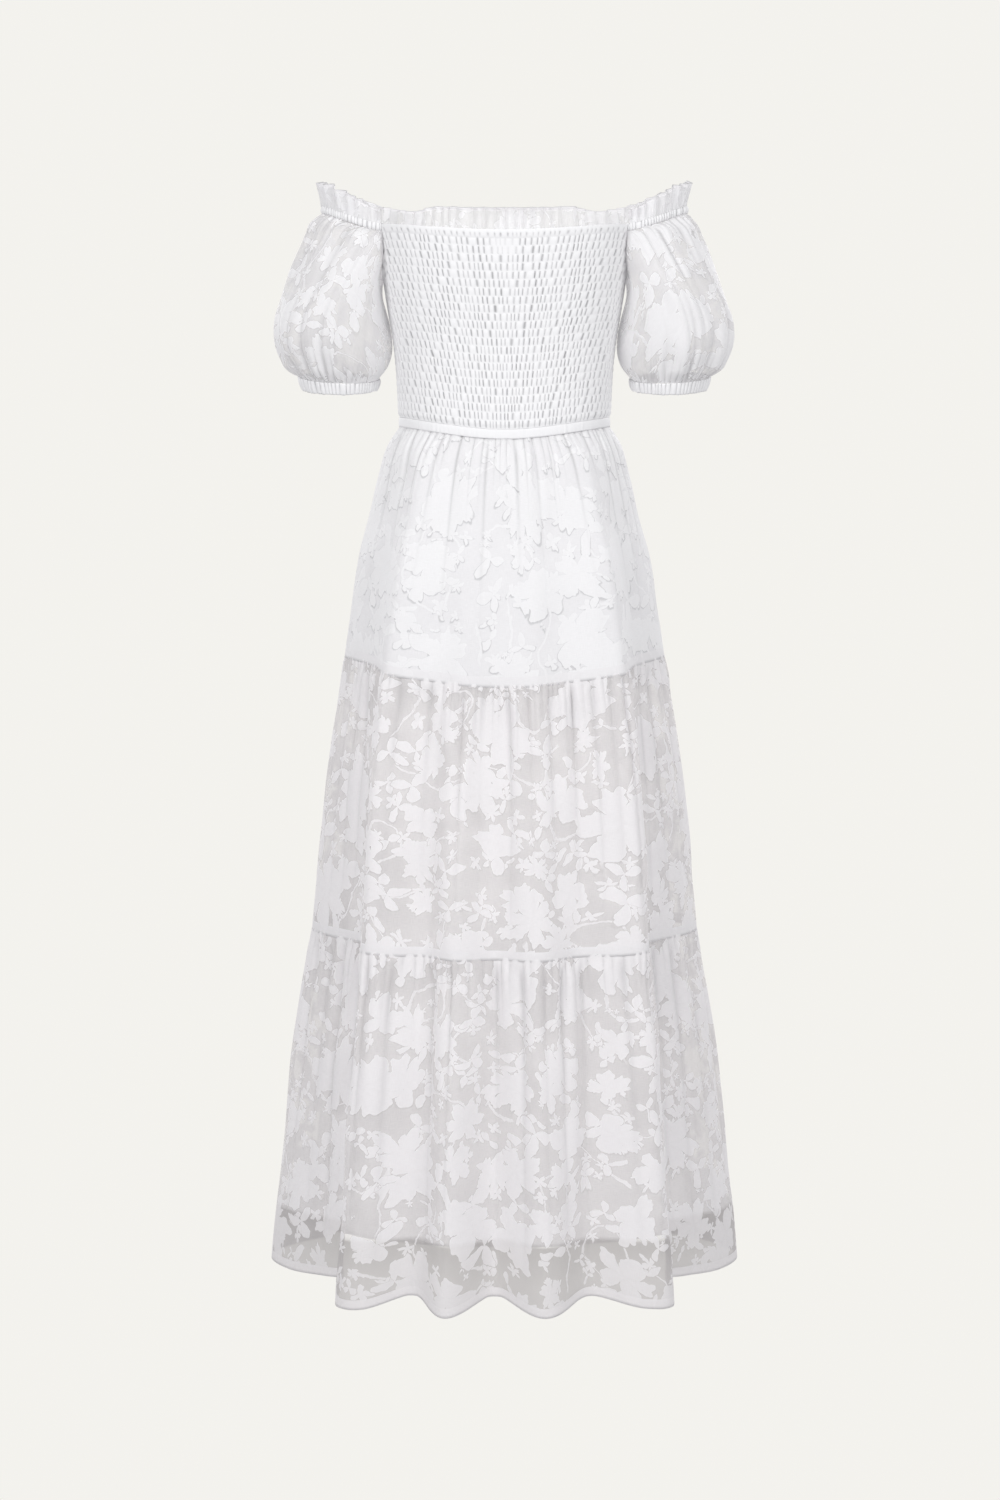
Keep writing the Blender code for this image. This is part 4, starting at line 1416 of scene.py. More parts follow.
@dataclass
class Bodice:
    """The smocked back and the plain front.

    Fields:
        smock_rows: rows of smocking between the elastics.
        row_steps: rows of points in each row of smocking.
        tick_pitch: distance from tuck to tuck, in metres.
        tick_width: half-width of a tuck, as a share of the pitch.
        column_count: columns of faces across the back.
        bubble: how far the smocked cloth puffs out, in metres.
        tuck_depth: depth of the tucks, as a share of the puffs.
        tuck_shade: how strong the painted shade in the tucks is.
        groove: depth of the groove under the header row, which also gets painted shade.
        label_fade: how far the tucks fade over the smooth patch in the middle.
        seed: picks the tucks' places.
        back_height: the back's height in its flat cut, in metres.
        front_height: the front's height in its flat cut, in metres.
        front_columns: columns of faces across the front.
        front_rows: rows of faces down the front.
        wall: thickness of the lined front, in metres.
        front_gathers: the front's folds under its neckline.
        waist_gathers: the front's folds over the waistband.
    """

    smock_rows: int = 24
    row_steps: int = 6
    tick_pitch: float = 0.0057
    tick_width: float = 0.125
    column_count: int = 570
    bubble: float = 0.0024
    tuck_depth: float = 0.78
    tuck_shade: float = 0.85
    groove: float = 0.16
    label_fade: float = 0.65
    seed: int = 7
    back_height: float = 0.215
    front_height: float = 0.21
    front_columns: int = 280
    front_rows: int = 60
    wall: float = 0.0010
    front_gathers: Gathers = Gathers(62, 0.0030, 0.045, start=0.5, seed=21)
    waist_gathers: Gathers = Gathers(58, 0.0022, 0.030, start=0.5, seed=22)

    def grid(self, turns: Array, shares: Array, half: Half) -> Array:
        """Points of a half, from its top edge to the waistband.

        Args:
            turns: degrees round the section, one for each column.
            shares: share of the height from the top, one for each row.
            half: the half that is made.

        Returns:
            The points, by row and column.
        """
        x, y = section_point(body_level(BODICE, np.zeros_like(turns)), turns)
        corner_out = bodice_out(np.array(ARMHOLE_HALF_DEPTH), np.array(0.0))
        if half is Half.BACK:
            top = BACK_CORNER_Z - BACK_NECK_DIP * np.clip(1.0 - (x / corner_out) ** 2, 0.0, 1.0)
            corner = BACK_CORNER_Z
        else:
            top = np.full_like(turns, FRONT_NECK_Z - CASING_HEIGHT - SEAM_GAP)
            corner = FRONT_NECK_Z - CASING_HEIGHT
        inside = np.clip(1.0 - (y / ARMHOLE_HALF_DEPTH) ** 2, 0.0, 1.0)
        armhole = inside * (corner - UNDERARM_Z)
        bottom = dipped(BAND_TOP_Z, BAND_DIPS, waist_angles(turns)) + SEAM_GAP
        share = shares[:, None]
        z = top + (bottom - top) * share - armhole * (1.0 - share) ** 2
        return body_grid(BODICE, -z, turns, z)

    def tick_row(self, ticks: Array, slant: Array, phases: Array) -> Array:
        """How deep in a tuck each point of one row lies.

        Args:
            ticks: place along the row, in tucks.
            slant: how far the row's tucks lean, in tucks.
            phases: six random angles that make the row unlike the others.

        Returns:
            Shares from 0 to 1.
        """
        wobble = 0.55 * np.sin(0.11 * ticks + phases[0])
        wobble = wobble + 0.30 * np.sin(0.43 * ticks + phases[1])
        wobble += 0.22 * np.sin(0.97 * ticks + phases[2]) + 0.14 * np.sin(1.9 * ticks + phases[3])
        uneven = np.sin(1.31 * ticks + phases[4]) * np.sin(0.57 * ticks + phases[5])
        beside = np.abs((ticks + wobble + slant + 0.5) % 1.0 - 0.5)
        return np.exp(-((beside / self.tick_width) ** 2)) * (0.74 + 0.26 * uneven)

    def bubbles(self, across: Array, shares: Array, points: Array) -> tuple[Array, Array]:
        """How far the smocked cloth puffs out between its elastic rows.

        Args:
            across: distance along the panel from its middle, in metres, drawn in at the
                sides, where the elastic is stretched more.
            shares: each row's share of the panel's height.
            points: the panel's points.

        Returns:
            Height of the puffs, in metres, and how far into a tuck each point lies, from 0 to
            1, which also sets its painted shade, both by row and column.
        """
        dice = np.random.default_rng(self.seed)
        places = shares * self.smock_rows
        ticks = across / self.tick_pitch
        turns = np.degrees(np.arctan2(points[0, :, 0], -points[0, :, 1]))
        sides = step(89.0, 82.0, np.abs(turns))
        tucks = np.zeros((len(shares), len(across)))
        for index, place in enumerate(places):
            number = min(int(place), self.smock_rows - 1)
            part = place - number
            if part == 0.0 or index % self.row_steps == 1:
                phases = dice.uniform(0.0, 2.0 * np.pi, 6)
            slant = 0.24 * (part - 0.5) * np.clip(across / 0.09, -1.0, 1.0)
            reach = step(0.0, 0.20, part) * step(1.0, 0.80, part)
            if number == 0:
                reach = 0.75 * step(0.30, 0.50, part) * step(0.95, 0.75, part)
            tucks[index] = self.tick_row(ticks, slant, phases) * reach
        beside_label = step(0.016, 0.009, np.abs(across))[None, :]
        label = beside_label * (step(0.9, 1.1, places) * step(3.0, 2.7, places))[:, None]
        tucks = tucks * (1.0 - self.label_fade * label) * (0.4 + 0.6 * sides)[None, :]
        groove = self.groove * np.exp(-(((places - 1.0) / 0.10) ** 2))
        tucks = np.maximum(tucks, groove[:, None])
        puffs = 0.80 + 0.20 * np.sin(np.pi * (places % 1.0))[:, None] * (1.0 - label)
        drawn_in = (0.25 + 0.75 * step(1.0, 0.975, shares))[:, None]
        return self.bubble * (puffs - self.tuck_depth * tucks) * drawn_in, tucks

    def build(self, smocked: bpy.types.Material, floral: bpy.types.Material) -> None:
        """Makes both halves.

        Args:
            smocked: the back's cloth.
            floral: the front's cloth.
        """
        self.build_back(smocked)
        self.build_front(floral)

    def build_back(self, material: bpy.types.Material) -> None:
        """Makes the smocked back, with its columns spaced evenly along the cloth.

        Args:
            material: the cloth.
        """
        turns = np.linspace(-90.0, 90.0, self.column_count + 1)
        shares = np.linspace(0.0, 1.0, self.smock_rows * self.row_steps + 1)
        points = self.grid(turns, shares, Half.BACK)
        level = len(points) // 3
        steps = np.linalg.norm(np.diff(points[level], axis=0), axis=1)
        across = np.concatenate([[0.0], np.cumsum(steps)])
        even = np.linspace(0.0, across[-1], self.column_count + 1)
        turns = np.interp(even, across, turns)
        points = self.grid(turns, shares, Half.BACK)
        stride = even[1] - even[0]
        drawn = np.clip(np.abs(np.diff(points[level, :, 0])), 0.55 * stride, stride)
        drawn = np.concatenate([[0.0], np.cumsum(drawn)])
        lifts, tucks = self.bubbles(drawn - drawn[-1] / 2.0, shares, points)
        points = raised(points, lifts)
        # The tucks and the groove under the header get painted shade.
        back = Sheet(
            "smocked_back",
            points,
            np.linspace(0.0, 1.0, len(turns)),
            shares * self.back_height,
            Cut(0.50, 0.22, Held.GATHERED),
            painted_fold_shade=tucks * self.tuck_shade,
        )
        dress_piece(back, material, "smocked", "bodice_back")

    def build_front(self, material: bpy.types.Material) -> None:
        """Makes the plain front, gathered a little at both ends.

        Args:
            material: the cloth.
        """
        turns = np.linspace(90.0, 270.0, self.front_columns + 1)
        shares = np.linspace(0.0, 1.0, self.front_rows + 1)
        points = self.grid(turns, shares, Half.FRONT)
        along = np.linspace(0.0, 1.0, len(turns))[None, :]
        away = (shares * self.front_height)[:, None]
        lifts = self.front_gathers.height(along, away)
        lifts += self.waist_gathers.height(along, self.front_height - away)
        edges = step(0.0, 0.04, along) * step(1.0, 0.96, along)
        points = raised(points, lifts * edges)
        front = Sheet(
            "front_bodice",
            points,
            np.linspace(0.0, 1.0, len(turns)),
            shares * self.front_height,
            Cut(0.52, 0.21, Held.GATHERED),
            wall=self.wall,
        )
        dress_piece(front, material, "sheer_floral", "bodice_front")


@dataclass
class Waistband:
    """The plain band between bodice and skirt, in one round.

    Fields:
        wall: its thickness, in metres.
        columns: columns of faces round it.
        rows: rows of faces.
        crown: how far its middle stands out, in metres.
        puckers: the small folds along its lower edge.
    """

    wall: float = 0.0014
    columns: int = 600
    rows: int = 8
    crown: float = 0.0006
    puckers: Gathers = Gathers(150, 0.0009, 0.010, start=1.0, seed=31)

    def build(self, material: bpy.types.Material) -> None:
        """Makes the band, softly padded between its two stitched edges.

        Args:
            material: the cloth.
        """
        turns = np.linspace(-180.0, 180.0, self.columns + 1)
        top = dipped(BAND_TOP_Z, BAND_DIPS, waist_angles(turns))
        shares = np.linspace(0.0, 1.0, self.rows + 1)
        z = top - BAND_HEIGHT * shares[:, None]
        points = body_grid(BODICE, -z, turns, z)
        along = (turns / 360.0 + 0.5)[None, :]
        crown = self.crown * np.sin(np.pi * shares)[:, None] ** 0.6
        lifts = crown + self.puckers.height(along, ((1.0 - shares) * BAND_HEIGHT)[:, None])
        points = raised(points, lifts)
        points[:, -1] = points[:, 0]
        band = Sheet(
            "waistband",
            points,
            np.linspace(0.0, 1.0, len(turns)),
            shares * BAND_HEIGHT,
            Cut(0.66, 0.010, Held.STRETCHED),
            closed=True,
            wall=self.wall,
        )
        dress_piece(band, material, "trim", "waistband_back", "waistband_front")


@dataclass
class Neckline:
    """The elastic casing over the arms and the front, and the frill on it.

    Fields:
        frill_height: from the casing's top to the frill's tip, in metres.
        frill_lean: how far the frill leans outwards over the arms, in metres.
        frill_cut: width and length of its flat cut, in metres.
        frill_columns: columns of faces along it.
        frill_rows: rows of faces up it.
        turned: height of its turned tip, in metres.
        casing_wall: thickness of the casing, in metres.
        casing_width: the casing's length in its flat cut, in metres.
        casing_columns: columns of faces along the casing.
        casing_rows: rows of faces down the casing.
        waves: the frill's large folds.
        ripples: the small folds at its foot.
        puckers: the casing's folds.
    """

    frill_height: float = 0.0257
    frill_lean: float = 0.0050
    frill_cut: tuple[float, float] = (1.18, 0.029)
    frill_columns: int = 1800
    frill_rows: int = 14
    turned: float = 0.0030
    casing_wall: float = 0.0018
    casing_width: float = 1.10
    casing_columns: int = 1000
    casing_rows: int = 7
    waves: Gathers = Gathers(52, 0.0100, 1.0, start=1.0, seed=41, crease=1.3)
    ripples: Gathers = Gathers(150, 0.0022, 0.0085, start=1.0, seed=42, crease=1.1)
    puckers: Gathers = Gathers(165, 0.0026, 1.0, start=1.0, seed=43, valley=0.45)

    def corner_height(self, path: Array) -> Array:
        """How much lower the frill is at its corners.

        Args:
            path: points along the neckline.

        Returns:
            Share of the frill's full height at each point.
        """
        out = np.abs(path[:, 0])
        behind = path[:, 1] < 0.0
        arm = step(0.125, 0.185, out)
        front = 1.0 - 0.30 * step(0.075, 0.105, out) * (1.0 - arm)
        return np.where(behind, 0.55 + 0.45 * arm, front)

    def build(self, trim: bpy.types.Material, floral: bpy.types.Material) -> None:
        """Makes the casing and the frill.

        Args:
            trim: the casing's cloth.
            floral: the frill's cloth.
        """
        self.build_casing(trim)
        self.build_frill(floral)

    def build_casing(self, material: bpy.types.Material) -> None:
        """Makes the gathered casing of the elastic.

        Args:
            material: the cloth.
        """
        path = neck_path(self.casing_columns + 1)
        along = np.linspace(0.0, 1.0, len(path))
        shares = np.linspace(0.0, 1.0, self.casing_rows + 1)
        lifts = self.puckers.height(along[None, :], np.zeros((len(shares), 1)))
        lifts = lifts * (0.45 + 0.55 * np.sin(np.pi * shares))[:, None]
        points = path[None] - np.array([0.0, 0.0, CASING_HEIGHT]) * shares[:, None, None]
        points = raised(points, lifts)
        width = self.casing_width
        # The puckers' valleys get painted shade.
        casing = Sheet(
            "elastic_casing",
            points,
            along,
            shares * CASING_HEIGHT,
            Cut(width, 0.010, Held.GATHERED, area=width * CASING_HEIGHT),
            painted_fold_shade=0.8 * np.broadcast_to(self.puckers.valleys(along, along * 0.0), lifts.shape),
            wall=self.casing_wall,
        )
        dress_piece(casing, material, "trim", "neck_casing")

    def build_frill(self, material: bpy.types.Material) -> None:
        """Makes the frill, with its tip turned over inside.

        Args:
            material: the cloth.
        """
        path = neck_path(self.frill_columns + 1)
        along = np.linspace(0.0, 1.0, len(path))
        foot = np.zeros_like(along)
        height = self.frill_height
        turned = self.turned / height
        shares = np.linspace(1.0, 0.0, self.frill_rows + 1)
        shares = np.concatenate([[1.0 - turned, 1.0 - 0.5 * turned], shares])
        inside = np.array([1.0, 1.0] + [0.0] * (len(shares) - 2))
        over_arm = np.clip((np.abs(path[:, 0]) - 0.13) / 0.06, 0.0, 1.0)
        big = self.waves.height(along, foot) - 0.5 * self.waves.depth
        normals = plan_normals(path[None])[0]
        uneven = np.sin(2.0 * np.pi * 31 * along + 1.0) * np.sin(2.0 * np.pi * 9 * along)
        tip = 1.0 + (0.015 + 0.035 * over_arm) * uneven
        tip = tip + (0.04 - 0.14 * over_arm) * big / self.waves.depth
        corners = self.corner_height(path)
        tip = tip * corners
        # Painted shade: in the valleys of the large waves, and over the whole frill where it lies
        # over the arms; less towards the tip.
        shade = self.waves.valleys(along, foot) * 0.5 + 0.85 * over_arm
        rows = []
        for share, within in zip(shares, inside):
            small = self.ripples.height(along, np.full_like(along, share * height))
            lift = big * (0.16 + 0.84 * share**0.8) + small - 0.0008 * within
            lift = lift + self.frill_lean * share * over_arm
            row = path + normals * lift[:, None]
            row[:, 2] += SEAM_GAP + (height - SEAM_GAP) * share * tip
            rows.append(row)
        width, length = self.frill_cut
        area = width * length * float(np.mean(corners))
        frill = Sheet(
            "neck_frill_cloth",
            np.array(rows),
            along,
            np.where(inside > 0.0, (1.0 - shares) * -height, (1.0 - shares) * height),
            Cut(width, length, Held.GATHERED, ("elastic_casing",), area=area),
            doubled=np.where(shares > 1.0 - 1.3 * turned, 1.0, 0.0),
            painted_fold_shade=np.clip(shade, 0.0, 1.0)[None, :] * (1.0 - 0.5 * shares)[:, None],
        )
        dress_piece(frill, material, "sheer_floral", "neck_frill")


@dataclass
class Sleeve:
    """A puffed sleeve and its elastic cuff.

    Fields:
        side: the arm it is on.
        seed: picks its folds, so that the sleeves aren't alike.
        columns: columns of faces round it.
        rows: rows of faces from the neckline to the cuff.
        cut: width and length of its flat cut, in metres.
        cuff_rows: rows of faces down the cuff.
        cuff_cut: width and length of the cuff's flat cut, in metres.
        cuff_wall: the cuff's thickness, in metres.
        edge_shade: how much stronger the painted shade is in the fine folds than in the large ones.
        end_rows: how much closer together the rows lie at both gathered ends.
        settle: how far the dented cloth is drawn in towards the arm, in metres.
        pattern_step: how far along the pattern each seed starts, in metres.
    """

    side: Side
    seed: int
    columns: int = 384
    rows: int = 96
    cut: tuple[float, float] = (0.52, 0.172)
    cuff_rows: int = 10
    cuff_cut: tuple[float, float] = (0.28, 0.013)
    cuff_wall: float = 0.0018
    edge_shade: float = 2.2
    end_rows: float = 0.055
    settle: float = 0.0025
    pattern_step: float = 0.031

    def ring(self, ring: SleeveRing, angles: Array) -> Array:
        """Points of one ring.

        Args:
            ring: its row of the table.
            angles: degrees round the arm, from its outside.

        Returns:
            The points, as outward distance, depth and height.
        """
        cosine = np.cos(np.radians(angles))
        sine = np.sin(np.radians(angles))
        middle = (ring.outer_out + ring.inner_out) / 2.0
        reach = (ring.outer_out - ring.inner_out) / 2.0
        out = middle + reach * cosine + ring.lift_out * sine**2
        y = ring.half_depth * sine
        middle_z = (ring.outer_z + ring.inner_z) / 2.0
        rise = (ring.outer_z - ring.inner_z) / 2.0
        z = middle_z + rise * cosine + ring.lift_z * sine**2 + ring.back_drop * sine
        return np.stack([self.clear(out, y, z), y, z], axis=-1)

    def clear(self, out: Array, y: Array, z: Array) -> Array:
        """Keeps points off the bodice."""
        return np.maximum(out, bodice_out(y, z) + BODICE_CLEARANCE)

    def first_ring(self, angles: Array) -> Array:
        """The top edge: under the casing over the arm, and along the armhole below it.

        Args:
            angles: degrees round the arm, from its outside.

        Returns:
            The points, as outward distance, depth and height.
        """
        out, y, z = sleeve_top_arc(angles)
        z = z - CASING_HEIGHT - SEAM_GAP
        cosine = np.cos(np.radians(angles))
        corner = np.where(angles < 0.0, BACK_CORNER_Z, FRONT_NECK_Z) - CASING_HEIGHT - SEAM_GAP
        armhole_z = corner + (UNDERARM_Z - 0.001 - corner) * cosine**2
        armhole_out = bodice_out(y, armhole_z) + BODICE_CLEARANCE
        under = cosine < -1e-9
        edge_out = np.where(under, armhole_out, out)
        return np.stack([edge_out, y, np.where(under, armhole_z, z)], axis=-1)

    def surface(self, angles: Array) -> Array:
        """Points of the sleeve without folds.

        Args:
            angles: degrees round the arm, from its outside.

        Returns:
            The points, by row and column.
        """
        rings = [self.first_ring(angles)] + [self.ring(ring, angles) for ring in SLEEVE_RINGS]
        places = np.linspace(0.0, 1.0, self.rows + 1)
        places = (len(rings) - 1) * (places - self.end_rows * np.sin(2.0 * np.pi * places))
        grid = smooth(places, np.arange(len(rings), dtype=float), np.array(rings))
        grid[..., 0] = self.clear(grid[..., 0], grid[..., 1], grid[..., 2])
        grid[..., 0] *= self.side.value
        return grid

    def folds(self, angles: Array, walked: Array) -> tuple[Array, Array]:
        """The folds that run from both gathered ends, and the dents between them.

        Args:
            angles: degrees round the arm, from its outside.
            walked: distance from the top edge along the cloth, by row and column.

        Returns:
            How far the cloth stands out, in metres, and how much painted shade it gets in its
            folds.
        """
        top = Gathers(50, 0.0034, 0.022, start=0.35, rise=0.006, seed=self.seed)
        top_folds = Gathers(15, 0.0105, 0.080, start=0.1, rise=0.022, seed=self.seed + 1)
        low = Gathers(46, 0.0036, 0.020, start=0.35, rise=0.006, seed=self.seed + 2)
        low_folds = Gathers(14, 0.0100, 0.070, start=0.1, rise=0.022, seed=self.seed + 3)
        dents = Dents(0.0024, 0.16, 0.09, self.seed + 4)
        along = (angles / 360.0 + 0.5)[None, :]
        away_low = walked[-1][None, :] - walked
        cosine = np.cos(np.radians(angles))
        over_arm = np.clip(cosine * 1.6 + 0.25, 0.0, 1.0)[None, :]
        round_arm = np.clip(cosine * 1.2 + 1.05, 0.0, 1.0)[None, :]
        middle = step(0.0, 0.03, walked) * step(0.0, 0.03, away_low)
        lifts = top.height(along, walked) + top_folds.height(along, walked)
        lifts = (lifts - 0.9 * lifts.mean(axis=1, keepdims=True)) * over_arm
        lower = low.height(along, away_low) + low_folds.height(along, away_low)
        lifts = lifts + (lower - 0.7 * lower.mean(axis=1, keepdims=True)) * round_arm
        lifts = lifts + (dents.height(along, walked) - self.settle) * middle * round_arm
        upper_shade = top.valleys(along, walked) * self.edge_shade
        upper_shade = (upper_shade + top_folds.valleys(along, walked)) * over_arm
        lower_shade = low.valleys(along, away_low) * self.edge_shade
        lower_shade = (lower_shade + low_folds.valleys(along, away_low)) * round_arm
        return lifts, np.clip(upper_shade + lower_shade, 0.0, 1.0)

    def build(self, floral: bpy.types.Material, trim: bpy.types.Material) -> None:
        """Makes the sleeve and its cuff.

        Args:
            floral: the sleeve's cloth.
            trim: the cuff's cloth.
        """
        name = self.side.name.lower()
        angles = np.linspace(-180.0, 180.0, self.columns + 1)
        grid = self.surface(angles)
        walked = np.linalg.norm(np.diff(grid, axis=0), axis=-1)
        walked = np.concatenate([np.zeros((1, len(angles))), np.cumsum(walked, axis=0)])
        lifts, shade = self.folds(angles, walked)
        grid = grid + tube_normals(grid) * lifts[..., None]
        out = self.clear(grid[..., 0] * self.side.value, grid[..., 1], grid[..., 2])
        grid[..., 0] = out * self.side.value
        grid[:, -1] = grid[:, 0]
        sleeve = Sheet(
            f"{name}_sleeve_cloth",
            grid,
            angles / 360.0 + 0.5,
            walked + self.pattern_step * self.seed,
            Cut(*self.cut, Held.GATHERED, ("elastic_casing",)),
            painted_fold_shade=shade,
            closed=True,
        )
        dress_piece(sleeve, floral, "sheer_floral", f"sleeve_{name}")
        self.build_cuff(name, angles, trim)

    def build_cuff(self, name: str, angles: Array, trim: bpy.types.Material) -> None:
        """Makes the gathered elastic cuff.

        Args:
            name: the arm's name.
            angles: degrees round the arm, from its outside.
            trim: the cloth.
        """
        ends = np.array([self.ring(SLEEVE_RINGS[-1], angles), self.ring(CUFF_EDGE, angles)])
        ends[0, :, 2] -= SEAM_GAP
        shares = np.linspace(0.0, 1.0, self.cuff_rows + 1)
        grid = ends[0] + (ends[1] - ends[0]) * shares[:, None, None]
        grid[..., 0] *= self.side.value
        along = (angles / 360.0 + 0.5)[None, :]
        level = np.zeros((len(shares), 1))
        puckers = Gathers(54, 0.0024, 1.0, start=1.0, seed=self.seed + 7, valley=0.4)
        lifts = puckers.height(along, level)
        grid[..., 2] -= 0.35 * lifts * shares[:, None] ** 4
        lifts = lifts * (0.5 + 0.5 * np.sin(np.pi * shares) ** 0.7)[:, None]
        grid = grid + tube_normals(grid) * lifts[..., None]
        grid[:, -1] = grid[:, 0]
        # The puckers' valleys get painted shade, less towards the lower edge.
        cuff = Sheet(
            f"{name}_cuff_cloth",
            grid,
            along[0],
            shares * self.cuff_cut[1],
            Cut(*self.cuff_cut, Held.GATHERED),
            painted_fold_shade=puckers.valleys(along, level) * (0.8 - 0.6 * shares)[:, None],
            closed=True,
            wall=self.cuff_wall,
        )
        dress_piece(cuff, trim, "trim", f"cuff_{name}")


@dataclass
class SkirtTier:
    """One gathered tier, all round, with its lower edge turned up inside.

    Fields:
        name: the piece's name.
        top: the level it hangs from.
        bottom: the level it ends at.
        cut: its flat cut.
        columns: columns of faces round it.
        stops: the rows' spacing in each stretch from the top, as rows_between takes it.
        turn_up: height of the turned edge, in metres.
        gathers: the folds under its top seam.
        dents: the dents of its open cloth.
        tuck: how far its top edge runs up behind the seam above, in metres.
        tuck_gap: how far inwards that edge is moved, in metres.
        fold_gap: distance between the cloth and its turned edge, in metres.
        fold_edge: how far above the fold the turned edge starts, in metres.
        smooth_from: share of the height at which the folds start to fade.
        settle: how far the dented cloth is drawn in towards the body, in metres.
        pattern_step: how far along the pattern each tier starts, in metres.
    """

    name: str
    top: Seam
    bottom: Seam
    cut: Cut
    columns: int
    stops: tuple[tuple[float, float], ...]
    turn_up: float
    gathers: tuple[Gathers, ...]
    dents: Dents
    tuck: float = 0.003
    tuck_gap: float = 0.0006
    fold_gap: float = 0.0011
    fold_edge: float = 0.0008
    smooth_from: float = 0.72
    settle: float = 0.0025
    pattern_step: float = 0.4

    def surface(self, angles: Array, shares: Array) -> Array:
        """Points of the tier without gathers, with its side outline as in the photo.

        Args:
            angles: degrees from the back, one for each column.
            shares: share of the height from the top, one for each row.

        Returns:
            The points, by row and column.
        """
        seam_drops = (BAND_HEIGHT - BAND_TOP_Z, -TIER_1_SEAM_Z, -TIER_2_SEAM_Z, -HEM_Z)
        drops = column(SIDE_WIDTHS, "drop")
        widths = column(SIDE_WIDTHS, "half_width")
        top_drop = seam_drops[self.top.value]
        bottom_drop = seam_drops[self.bottom.value]
        top_width, bottom_width = smooth(np.array([top_drop, bottom_drop]), drops, widths)
        width = smooth(top_drop + (bottom_drop - top_drop) * shares, drops, widths)
        blend = ((width - top_width) / (bottom_width - top_width))[:, None]
        top_radius = level_radius(self.top, angles)
        radius = top_radius + (level_radius(self.bottom, angles) - top_radius) * blend
        top_z = seam_height(self.top, angles)
        z = top_z + (seam_height(self.bottom, angles) - top_z) * shares[:, None]
        turn = np.radians(angles)
        return np.stack([radius * np.sin(turn), -radius * np.cos(turn), z], axis=-1)

    def folds(self, along: Array, away: Array) -> tuple[Array, Array]:
        """The tier's gathers and dents.

        Args:
            along: place round the tier, from 0 to 1, as one row.
            away: distance from the top seam, in metres, one for each row.

        Returns:
            How far the cloth stands out, in metres, and how much painted shade it gets in its
            folds.
        """
        height = self.stops[-1][0]
        under = away[:, None]
        fade = step(height, height * self.smooth_from, away)[:, None]
        lifts = sum(g.height(along, under) for g in self.gathers) * fade
        lifts = lifts - lifts.mean(axis=1, keepdims=True)
        # Painted shade in the gathers' valleys.
        painted_fold_shade = sum(g.valleys(along, under) for g in self.gathers) * fade
        settled = step(0.0, 0.05, away)[:, None] * fade
        lifts = lifts + (self.dents.height(along, under) - self.settle) * settled
        return lifts, np.clip(painted_fold_shade, 0.0, 1.0)

    def build(self, material: bpy.types.Material) -> None:
        """Makes the tier.

        Args:
            material: the cloth.
        """
        angles = np.linspace(-180.0, 180.0, self.columns + 1)
        height = self.stops[-1][0]
        away = rows_between(self.stops)
        points = self.surface(angles, away / height)
        along = (angles / 360.0 + 0.5)[None, :]
        lifts, painted_fold_shade = self.folds(along, away)
        points = raised(points, lifts)
        tucked = points[:1] - plan_normals(points[:1]) * self.tuck_gap
        tucked[..., 2] += self.tuck
        turned = np.array([self.fold_edge, self.turn_up / 2.0, self.turn_up])
        up = []
        for rise in turned:
            row = int(np.argmin(np.abs(away - (height - rise))))
            up.append(points[row] - plan_normals(points[row][None])[0] * self.fold_gap)
        points = np.concatenate([tucked, points, np.array(up)])
        down = np.concatenate([[-self.tuck], away, height + turned])
        doubled = np.where(down > height - self.turn_up - 1e-6, 1.0, 0.0)
        doubled[0] = 1.0
        points[:, -1] = points[:, 0]
        rows = np.clip(np.arange(-1, len(down) - 1), 0, len(away) - 1)
        tier = Sheet(
            self.name,
            points,
            along[0],
            down + self.pattern_step * self.top.value,
            self.cut,
            doubled=doubled,
            painted_fold_shade=painted_fold_shade[rows],
            closed=True,
        )
        node = f"tier_{self.top.value + 1}"
        dress_piece(tier, material, "sheer_floral", f"{node}_back", f"{node}_front")


@dataclass
class Slip:
    """The plain slip under the skirt.

    Fields:
        columns: columns of faces round it.
        rows: rows of faces above its turned hem.
        top_drop: where it starts below the origin, in metres.
        hem_fold_drop: where its hem starts below the origin, in metres.
        hem_drops: where the two rows of the hem lie, in metres.
        wall: its thickness, in metres.
        drawn_in: how far its open folds are drawn in towards the body, in metres.
        folds: its soft folds.
    """

    columns: int = 220
    rows: int = 55
    top_drop: float = 0.226
    hem_fold_drop: float = 1.088
    hem_drops: tuple[float, float] = (1.0895, 1.095)
    wall: float = 0.0010
    drawn_in: float = 0.0025
    folds: Gathers = Gathers(17, 0.0050, 1.0, start=0.0, rise=0.40, rest=0.9, seed=71)

    def build(self, material: bpy.types.Material) -> None:
        """Makes the slip, with soft folds that open towards its hem.

        Args:
            material: the cloth.
        """
        turns = np.linspace(-180.0, 180.0, self.columns + 1)
        top = seam_height(Seam.WAIST, waist_angles(turns)) - SEAM_GAP
        drops = np.linspace(self.top_drop, self.hem_fold_drop, self.rows + 1)
        drops = np.concatenate([drops, self.hem_drops])
        away = (drops - drops[0])[:, None]
        z = top + (SLIP_HEM_Z - top) * (away / (drops[-1] - drops[0]))
        levels = np.broadcast_to(drops[:, None], z.shape)
        points = body_grid(SLIP_LEVELS, levels, turns, z)
        lifts = self.folds.height((turns / 360.0 + 0.5)[None, :], away)
        lifts = lifts - self.drawn_in * step(0.0, 0.4, away)
        points = raised(points, lifts)
        points[:, -1] = points[:, 0]
        slip = Sheet(
            "slip_cloth",
            points,
            turns / 360.0 + 0.5,
            drops - drops[0],
            Cut(1.16, 0.88, Held.HUNG, ("waistband",)),
            closed=True,
            wall=self.wall,
        )
        dress_piece(slip, material, "slip", "lining_back", "lining_front")


@dataclass(frozen=True)
class Lamp:
    """A soft square lamp, with its side in metres and its power in watts."""

    name: str
    place: Place
    size: float
    power: float


